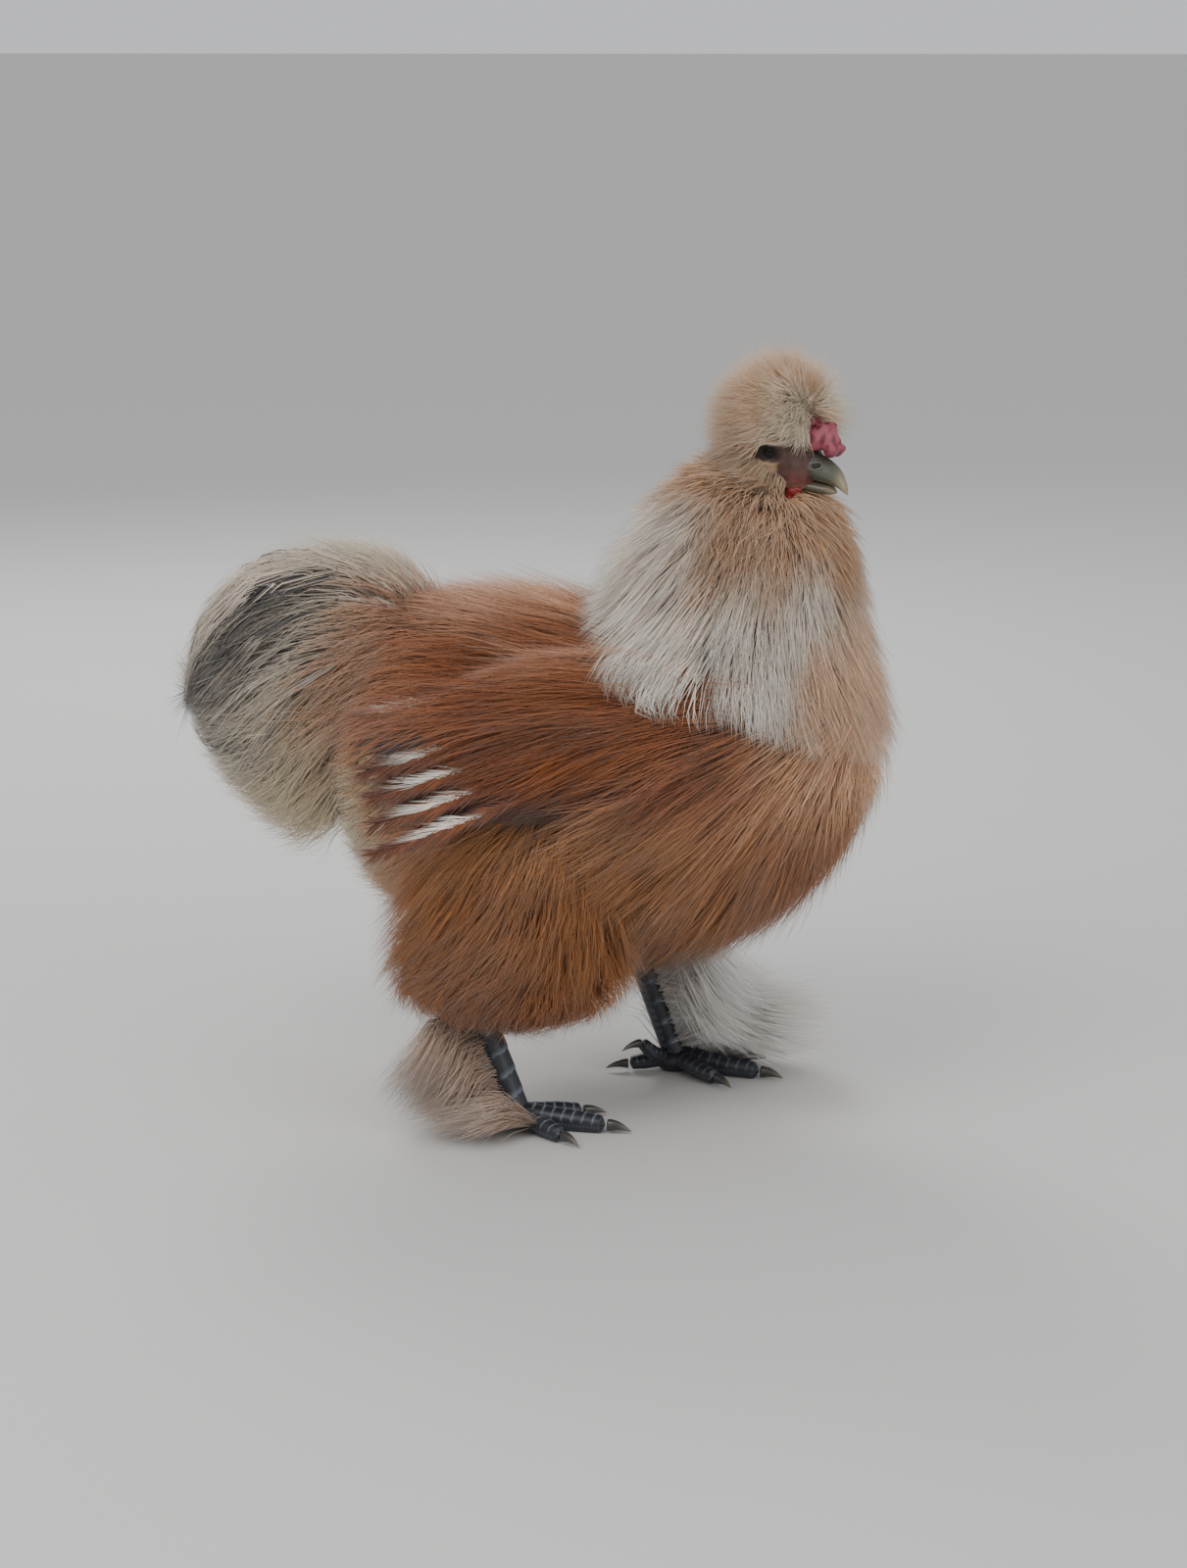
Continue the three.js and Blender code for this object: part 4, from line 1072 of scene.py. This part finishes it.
def boot_coat(side):
    """Feathering that fans out from the shank and the outer toe."""
    boot = BOOTS[side]
    tufts = boot["tufts"]
    per_tuft = 8
    count = tufts * per_tuft
    low, top = shank_line(side)
    turn = rng.random(tufts) ** boot["gather"]
    yaw = boot["from"] + (boot["to"] - boot["from"]) * turn + rng.normal(0, 7, tufts)
    on_shank = rng.random(tufts) < 0.5
    toe = toe_line(side, "outer")[1]
    towards_tip = 1 - turn if side == "left" else turn
    share = np.clip(boot["out_on_toe"] * towards_tip + rng.normal(0, 0.08, tufts), 0, 0.8)
    toe_root = toe[0] + (toe[-1] - toe[0]) * share[:, None]
    shank_root = low + (top - low) * rng.uniform(0.02, 0.6, tufts)[:, None]
    starts = np.where(on_shank[:, None], shank_root, toe_root)
    length = rng.uniform(*boot["lengths"], tufts)
    rise = boot["rise"] * rng.uniform(0.3, 1.35, tufts)
    t = np.linspace(0, 1, 3)[None, :]
    run = np.repeat(length, per_tuft)[:, None] * rng.uniform(0.7, 1.06, count)[:, None] * t
    yaws = np.repeat(yaw, per_tuft)[:, None] + rng.normal(0, 6, count)[:, None] * t
    paths = np.repeat(starts, per_tuft, axis=0)[:, None] + heading(yaws, run)
    root_height = np.repeat(starts[:, 2], per_tuft)[:, None]
    paths[..., 2] += np.repeat(rise, per_tuft)[:, None] * np.sin(np.pi * t * 0.62)
    paths[..., 2] += (3.4 - 0.9 * root_height) * t**2
    paths += rng.normal(0, 1.6, (count, 1, 3)) * (0.6 + 0.9 * t)[..., None]
    paths[..., 2] = np.maximum(paths[..., 2], 1 + 3 * rng.random(count)[:, None])
    out = np.broadcast_to(np.array([0.0, 0.0, 1.0]), (count, 3))
    root_uv = np.stack([0.05 + 0.9 * turn, 0.05 + 0.9 * np.clip(starts[:, 2] / HOCK_HEIGHT, 0, 1)], -1)
    return strands_of(paths, out, per_tuft, boot["radius"], boot_paint(boot["paint"]),
                      np.repeat(root_uv, per_tuft, axis=0))


# Flight feathers: ragged vanes whose barbs don't lock together. The upper and the lower one leave the wing
# at these places, with their fall in degrees and their size.
FLIGHT_COUNT = 6
FLIGHT_LENGTH = 66
FLIGHT_TOP = np.array([-30.0, 78.0, 212.0, 16.0, 0.86])
FLIGHT_LOW = np.array([-6.0, 81.0, 166.0, 24.0, 1.16])
BARBS = 340
DARK_FLIGHT = 1


def flight_coat(side):
    sign = SIDES[side]
    out = unit(np.array([0.1, sign, 0.25]))
    sets = []
    for k in range(FLIGHT_COUNT):
        x, y, z, fall, size = FLIGHT_TOP + (FLIGHT_LOW - FLIGHT_TOP) * k / (FLIGHT_COUNT - 1)
        fall = math.radians(fall)
        s = np.sort(rng.random(BARBS))
        upper = rng.random(BARBS) < 0.5
        run = FLIGHT_LENGTH * size * s * 0.9
        off = y + 0.72 * k + 7 * np.sin(0.7 * np.pi * s) - 9 * s * s + 9
        shaft = np.stack([x - run * np.cos(fall * (1 - 0.4 * s)), sign * off, z - run * math.sin(fall)], -1)
        onward = np.array([-math.cos(fall), 0, -math.sin(fall)])
        across = np.cross(onward, out)
        across = across * np.sign(across[2])
        angle = np.radians(rng.normal(17, 5, BARBS)) * np.where(upper, 1, -1)
        ways = unit(onward * np.cos(angle)[:, None] + across * np.sin(angle)[:, None])
        lengths = 19 * (0.55 + 0.45 * np.sin(np.pi * np.clip(s, 0.1, 0.9)))
        white = smooth(s, 0.22, 0.34) * smooth(s, 0.74, 0.6) * upper
        root_uv = np.stack([0.05 + 0.9 * s, np.full(BARBS, 0.1 + 0.16 * k)], -1)
        outs = np.broadcast_to(out, ways.shape)
        sets.append(free_strands(shaft, ways, lengths, outs, 1, barb_paint(white, k == DARK_FLIGHT), 0.36,
                                 root_uv, droop=0.04, spread=0.4, fan=1.5))
    return merged(*sets)


# Head parts

HEAD_SECTIONS = {
    "beak_upper": [
        [10, -4, 4, 3, 3],
        [13, -4, 8.2, 6, 6],
        [19, -4, 7.6, 6.2, 6.4],
        [25, -4.8, 6.6, 6, 5.6],
        [30, -6.2, 5.3, 5.4, 4.4],
        [34.5, -8.4, 3.8, 4.6, 3],
        [38, -11.4, 2, 2.8, 1.6],
        [39.5, -13.5, 0.3, 0.3, 0.3],
    ],
    "beak_lower": [
        [9.5, -13, 3, 0.8, 2],
        [12, -12.4, 6.6, 2.2, 4.2],
        [19, -12.6, 5.8, 2.2, 3.8],
        [26, -12.9, 4.6, 2.4, 2.8],
        [31, -13.2, 3, 2.2, 1.9],
        [34, -13.6, 0.3, 0.3, 0.3],
    ],
    "skull": [
        [-24, -1, 3, 3, 3],
        [-20, -1, 12, 11, 11],
        [-8, -1, 17.5, 17.5, 18],
        [1, -1.5, 17, 18, 19],
        [9, -2.5, 14.6, 15.5, 17],
        [16, -4, 11.6, 12, 13.5],
        [21, -5, 8.6, 8.6, 10],
        [23.5, -5, 3, 3, 3],
    ],
}


def head_rings(name, along=40, around=40):
    """Rings of a head form, smoothed through its sections, in the head's frame."""
    columns = np.array(HEAD_SECTIONS[name], float).T
    t = np.linspace(0, 1, along)
    fore, up, half, rise, fall = (through(c, t)[:, None] for c in columns)
    a = circle(around)
    tall = np.where(np.sin(a) >= 0, np.maximum(rise, 0.2), np.maximum(fall, 0.2))
    return np.stack([fore + 0 * a, np.maximum(half, 0.2) * np.cos(a), up + tall * np.sin(a)], -1)


# The nostril's place along the beak and up
NOSTRIL = (24.4, -2.6)


def make_beak():
    rings = head_rings("beak_upper", 90, 72)
    fore, left, up = np.moveaxis(rings, -1, 0)
    ridge = smooth(np.abs(left), 2.4, 0) * smooth(fore, 14, 24) * (up > -6)
    rings[..., 2] += 0.5 * ridge
    along = fore - NOSTRIL[0]
    nostril = (along / 2.7) ** 2 + ((up - NOSTRIL[1] - 0.25 * along) / 1.15) ** 2
    pit = smooth(nostril, 1.0, 0.3)
    rings[..., 1] -= np.sign(left) * 1.6 * pit
    cere = smooth(nostril, 5.0, 1.6) * smooth(nostril, 0.6, 1.2)
    rings[..., 1] += np.sign(left) * 0.35 * cere
    points, triangles = skin_over(rings)
    fore, left, up = points.T
    # A pale patch on top of the beak's base is a painted highlight.
    pale = 0.45 * smooth(fore, 27, 22) * smooth(up, -5, 0)
    colour = dyed("beak", horn_tip=0.75 * smooth(fore, 32, 39), beak_pale=pale)
    # The nostril's pit is painted dark with the lid colour, as painted shade in the hollow.
    shade = np.concatenate([pit.ravel(), [0, 0]])
    colour = dyed(colour, horn_tip=0.4 * smooth(up, -8.6, -10) * smooth(fore, 36, 30), lid=0.85 * shade)
    piece("beak_upper_horn", (head_point(points), triangles), colour, HORN, "horn", "beak_upper")
    points, triangles = skin_over(head_rings("beak_lower", 50, 48))
    colour = dyed("beak", horn_tip=0.1 + 0.4 * smooth(points[:, 0], 28, 33))
    piece("beak_lower_horn", (head_point(points), triangles), colour, HORN, "horn", "beak_lower")


COMB_BULBS = [
    [18, 0, 12, 6.6],
    [22, 5, 9.2, 5.6],
    [22, -5, 9.2, 5.6],
    [26, 0, 9, 5.8],
    [24.5, 3.2, 13, 3.6],
    [24.5, -3.2, 13, 3.6],
    [29.4, 2.6, 5, 3.6],
    [29.4, -2.6, 5, 3.6],
]


def make_comb():
    """A walnut comb: a broad knob, with small wrinkled bulbs all over it."""
    shapes = [ball_shape(head_point(b[:3]), [b[3] * 0.94] * 3, around=20) for b in COMB_BULBS]
    for f, s, u, r in COMB_BULBS:
        for _ in range(9):
            way = unit(rng.normal(size=3))
            way[2] = abs(way[2]) * 0.8
            knob = np.array([f, s, u]) + way * r * 0.78
            shapes.append(ball_shape(head_point(knob), [rng.uniform(1.1, 1.9)] * 3, around=12))
    obj = remeshed("comb_flesh", shapes, 0.55)
    p = in_head(layout_points(obj.data))
    dark = 0.8 * smooth(patchy(p, 3.4), 0.1, -0.8)
    colour = dyed("comb", comb_dark=dark)
    paint(obj.data, dyed(colour, comb_dark=0.6 * smooth(p[:, 0], 25, 31) * smooth(p[:, 2], 9, 3)))
    finished(obj, FLESH, ["comb"])


def make_wattle(side):
    sign = SIDES[side]
    parts = [
        ([14.4, sign * 7.0, -16], [3.6, 2.2, 2.8]),
        ([13.2, sign * 7.4, -19.4], [3.2, 2.0, 3.6]),
        ([17.0, sign * 6.6, -14.6], [2.6, 1.6, 1.6]),
    ]
    shapes = [ball_shape(head_point(m), r, head_turn, around=20) for m, r in parts]
    obj = remeshed(f"wattle_{side}_flesh", shapes, 0.5)
    p = in_head(layout_points(obj.data))
    paint(obj.data, dyed("wattle", comb_dark=0.5 * smooth(patchy(p, 3), 0, -0.9)))
    finished(obj, FLESH, [f"wattle_{side}"])


def make_eye(side):
    shape = ball_shape(eye_point(side), [EYE["radius"]] * 3, around=56)
    look = unit(head_axis([0.24, SIDES[side], 0.02]))
    facing = unit(shape[0] - eye_point(side)) @ look
    angle = np.degrees(np.arccos(np.clip(facing, -1, 1)))
    colour = dyed("pupil", iris=smooth(angle, 19, 23), pupil=smooth(angle, 38, 43))
    piece(f"eye_{side}_ball", shape, colour, EYEBALL, "eye", f"eye_{side}")


def lid_shape(side, reach_fore, reach_up, thick, out):
    """A rim round one eye."""
    sign = SIDES[side]
    a = circle(48).T
    b = circle(16)
    fore = (reach_fore + thick * np.cos(b)) * np.cos(a)
    up = (reach_up + thick * np.cos(b)) * np.sin(a)
    left = sign * (out + thick * np.sin(b)) + 0 * a
    turn = math.radians(-sign * 14)
    fore, left = fore * math.cos(turn) - left * math.sin(turn), fore * math.sin(turn) + left * math.cos(turn)
    centre = np.array([EYE["fore"], sign * EYE["side"], EYE["up"]])
    rings = head_point(np.stack([fore, left, up], -1) + centre)
    index = np.arange(48 * 16).reshape(48, 16)
    triangles = band(index, np.roll(index, -1, 0))
    return rings.reshape(-1, 3), triangles if sign > 0 else triangles[:, ::-1]


# How far the skin lies below the plumage's core, as a share of the coat
SKIN_DEPTH = -0.12
# Rims round each eye: reach fore and up, thickness, and how far out
LIDS = [(5.6, 3.7, 1.5, 4.2), (8.2, 6.2, 1.2, 2.4)]
# Middle and reach of the brow and of the gape's corner, on the left
FACE_PADS = [([5, 14.2, 7], [9, 3.2, 2.6]), ([13, 9.2, -11], [6, 2.6, 2.2])]


def make_skin():
    """One skin under all the plumage, with the bare face, cheeks and lids."""
    masses = [torso_mass, neck_mass, tail_mass, *thigh_masses.values(), *wing_masses.values()]
    shapes = [loft_shape(mass, SKIN_DEPTH) for mass in masses]
    shapes.append(skin_over(head_point(head_rings("skull"))))
    shapes.append(ball_shape(head_point([-1, 0, 12]), [15, 14, 15], head_turn))
    for side, sign in SIDES.items():
        shapes += [lid_shape(side, *lid) for lid in LIDS]
        for (fore, left, up), reach in FACE_PADS:
            shapes.append(ball_shape(head_point([fore, sign * left, up]), reach, head_turn, around=20))
    obj = remeshed("skin", shapes, 1.7)
    points = layout_points(obj.data)
    local = in_head(points)
    near_head = smooth(np.linalg.norm(local - [6, 0, -3], axis=1), 26, 18)
    folds = patchy(local * [1, 1, 1.8], 3.2)
    moved = points + of_points(obj.data, "normal") * (0.35 * near_head * folds)[:, None]
    obj.data.vertices.foreach_set("co", placed(moved).astype(np.float32).ravel())
    obj.data.update()
    all_roots = np.concatenate(roots_seen)
    tree = kdtree.KDTree(len(all_roots))
    for k, root in enumerate(all_roots):
        tree.insert(root, k)
    tree.balance()
    nearest = [tree.find(p)[1] for p in points]
    # The skin takes the colour of the nearest strand roots, made darker by 0.85 as painted shade under the
    # plumage.
    colour = np.concatenate(root_colours)[nearest] * 0.85
    fore, left, up = local.T
    bare = smooth(fore, -4, 0) * smooth(np.linalg.norm(local - [8, 0, -4], axis=1), 30, 26)
    bare = bare * smooth(up, 9, 5) * smooth(up, -15, -11)
    bare = bare * np.maximum(smooth(np.abs(up - 1), 4.6, 3.6), smooth(fore - 0.35 * (up + 5), 8.5, 11))
    ring = np.hypot((fore - 5.8) / 7, (up - 0.8) / 4)
    warm = 0.6 * smooth(fore + 3 * folds, 9, 15) * smooth(up, -4, -10)
    face = dyed("face", face_warm=warm, lid=0.92 * smooth(ring, 1.05, 0.85))
    # The face is lighter where the folds stand out and darker in their hollows: painted light and shade
    # following the relief.
    face = varied(face, folds, 0.18)
    paint(obj.data, mix(colour, face, bare))
    flesh = ["head", "crest", "neck", "torso", "tail"]
    flesh += [f"{part}_{side}" for part in ("thigh", "wing") for side in SIDES]
    finished(obj, SKIN, flesh)


# Legs and feet

def scuted(line, radii, scutes, front, rings):
    """A limb with plates along its front: points, triangles, and how near each point is to an edge."""
    t = np.linspace(0, 1, rings)
    at = np.linspace(0, 1, len(line))
    centre = np.stack([np.interp(t, at, values) for values in np.transpose(line)], -1)
    radius = np.interp(t, np.linspace(0, 1, len(radii)), radii)
    radius = radius * np.sqrt(np.clip(np.minimum(t / 0.04, (1 - t) / 0.05), 0.02, 1))
    tangent = unit(np.gradient(centre, axis=0))
    front = np.asarray(front, float)
    ahead = unit(front - tangent * (tangent @ front)[:, None])
    side = np.cross(tangent, ahead)
    a = circle(32)
    facing = smooth(np.cos(a), -0.1, 0.5)
    phase = (t[:, None] * scutes + 0.16 * np.abs(np.sin(a))) % 1
    step = smooth(phase, 0.0, 0.12) * (1 - 0.75 * phase)
    small = 0.35 * np.sin(a * 7 + 9 * t[:, None] * scutes) * np.sin(t[:, None] * scutes * 9)
    grow = 1 + 0.085 * step * facing + 0.03 * small * (1 - facing)
    r = radius[:, None] * grow
    rings_at = centre[:, None] + ahead[:, None] * (r * np.cos(a))[..., None]
    rings_at += side[:, None] * (r * np.sin(a))[..., None]
    rings_at[..., 2] = np.maximum(rings_at[..., 2], 0)
    edge = smooth(phase, 0.3, 0.02) * facing + 0.5 * (1 - facing) * smooth(small, 0.1, 0.3)
    points, triangles = skin_over(rings_at)
    return points, triangles, np.concatenate([edge.ravel(), [0, 0]])


def make_leg(side):
    low, top = shank_line(side)
    ahead = heading(FOOT[side]["yaw"], 1.0) + [0, 0, 0.3]
    widths = SHANK_RADIUS * np.array([1.1, 1.04, 1, 1.04, 1.35])
    shapes = [scuted([low - [0, 0, 5], low, top], widths, 15, ahead, 170)]
    for toe, (_, _, _, radius) in TOES.items():
        _, points = toe_line(side, toe)
        widths = [radius * 1.12, radius, radius * 1.02, radius * 0.8]
        shapes.append(scuted(points, widths, 9 if toe == "middle" else 7, [0, 0, 1], 110))
    pad = ball_shape(foot_point(side) + [0, 0, 5], [9.5, 9, 6.5], around=28)
    pad[0][:, 2] = np.maximum(pad[0][:, 2], 0)
    shapes.append((*pad, np.zeros(len(pad[0]))))
    shape = joined_shapes([s[:2] for s in shapes])
    edge = np.concatenate([s[2] for s in shapes])
    colour = varied(dyed("shank", scale_edge=0.75 * edge), patchy(shape[0], 6), 0.15)
    piece(f"leg_{side}_scutes", shape, colour, SCUTES, "slate_foot", f"foot_{side}", f"shank_{side}")
    for toe in TOES:
        make_claw(side, toe)


def make_claw(side, toe):
    yaw, line = toe_line(side, toe)
    radius = TOES[toe][3]
    t = np.linspace(-0.1, 1, 24)
    centre = line[-1] + heading(yaw + 0 * t, radius * 0.5 + CLAW_LENGTH * t)
    centre[:, 2] += 1.2 * t - 3.2 * t * t
    r = radius * 0.62 * np.clip(1 - t, 0.03, 1) ** 0.62
    a = circle(20)
    across = heading(float(yaw), 0.0, 1.0)
    rings = centre[:, None] + across * (0.8 * r[:, None] * np.cos(a))[..., None]
    rings[..., 2] += r[:, None] * np.sin(a)
    rings[..., 2] = np.maximum(rings[..., 2], 0.1)
    share = np.concatenate([np.repeat(t, 20), [0, 1]])
    colour = dyed("claw", claw_tip=0.7 * smooth(share, 0.3, 1))
    piece(f"claw_{toe}_{side}_horn", skin_over(rings), colour, HORN, "claw", f"claw_{toe}_{side}")


# Studio

def make_studio():
    bpy.ops.mesh.primitive_plane_add(size=400, location=(0, 0, -0.0004))
    floor = bpy.context.object
    floor.name = "studio_floor"
    pale = bpy.data.materials.new("pale_floor")
    pale.use_nodes = True
    shader = pale.node_tree.nodes["Principled BSDF"]
    shader.inputs["Base Color"].default_value = (0.62, 0.61, 0.59, 1)
    shader.inputs["Roughness"].default_value = 0.8
    floor.data.materials.append(pale)
    world = bpy.data.worlds.new("studio_air")
    world.use_nodes = True
    air = world.node_tree.nodes["Background"].inputs
    air["Color"].default_value = (0.86, 0.87, 0.9, 1)
    air["Strength"].default_value = 0.8
    bpy.context.scene.world = world
    # Place, power and size of each lamp
    lamps = {
        "key": ((-0.5, -1.3, 1.5), 17, 1.1),
        "fill": ((1.4, -0.9, 0.8), 7, 1.0),
        "back": ((-0.7, 1.3, 1.2), 14, 0.7),
    }
    for name, (place, power, size) in lamps.items():
        lamp = bpy.data.lights.new(name, "AREA")
        lamp.energy = power
        lamp.size = size
        holder = in_scene(name, lamp)
        holder.location = place
        aim = Vector((0, 0, 0.17)) - holder.location
        holder.rotation_euler = aim.to_track_quat("-Z", "Y").to_euler()


CAMERA_AZIMUTH = 12
CAMERA_HEIGHT_ANGLE = 12.5
CAMERA_DISTANCE = 1.569
CAMERA_TARGET = np.array([7.0, 0.0, 153.0])
SENSOR = 36
# Focal length in pixels of the photo, and the photo's longer side
FOCAL_PIXELS = 3400
PHOTO_HEIGHT = 1600


def make_camera():
    camera = bpy.data.cameras.new("photo_view")
    camera.sensor_width = SENSOR
    camera.lens = FOCAL_PIXELS / PHOTO_HEIGHT * SENSOR
    holder = in_scene("photo_view", camera)
    a = math.radians(CAMERA_AZIMUTH)
    e = math.radians(CAMERA_HEIGHT_ANGLE)
    back = Vector((math.sin(a) * math.cos(e), -math.cos(a) * math.cos(e), math.sin(e)))
    holder.location = Vector(placed(CAMERA_TARGET)) + back * CAMERA_DISTANCE
    holder.rotation_euler = back.to_track_quat("Z", "Y").to_euler()
    bpy.context.scene.camera = holder


make_camera()
make_studio()
coat_pieces("plumage_torso", torso_coat())
coat_pieces("plumage_neck", neck_coat())
coat_pieces("plumage_tail", merged(tail_coat(), sickles()))
for bird_side in SIDES:
    coat_pieces(f"plumage_thigh_{bird_side}", thigh_coat(bird_side))
    coat_pieces(f"plumage_wing_{bird_side}", wing_coat(bird_side))
    coat_pieces(f"flight_feathers_{bird_side}", flight_coat(bird_side))
    coat_pieces(f"boot_feathers_{bird_side}", boot_coat(bird_side))
coat_pieces("plumage_crest", crest_coat())
coat_pieces("plumage_cheeks", cheek_coat())
make_skin()
make_beak()
make_comb()
for bird_side in SIDES:
    make_wattle(bird_side)
    make_eye(bird_side)
    make_leg(bird_side)


def corners(box):
    return [[float(x) for x in corner] for corner in box]
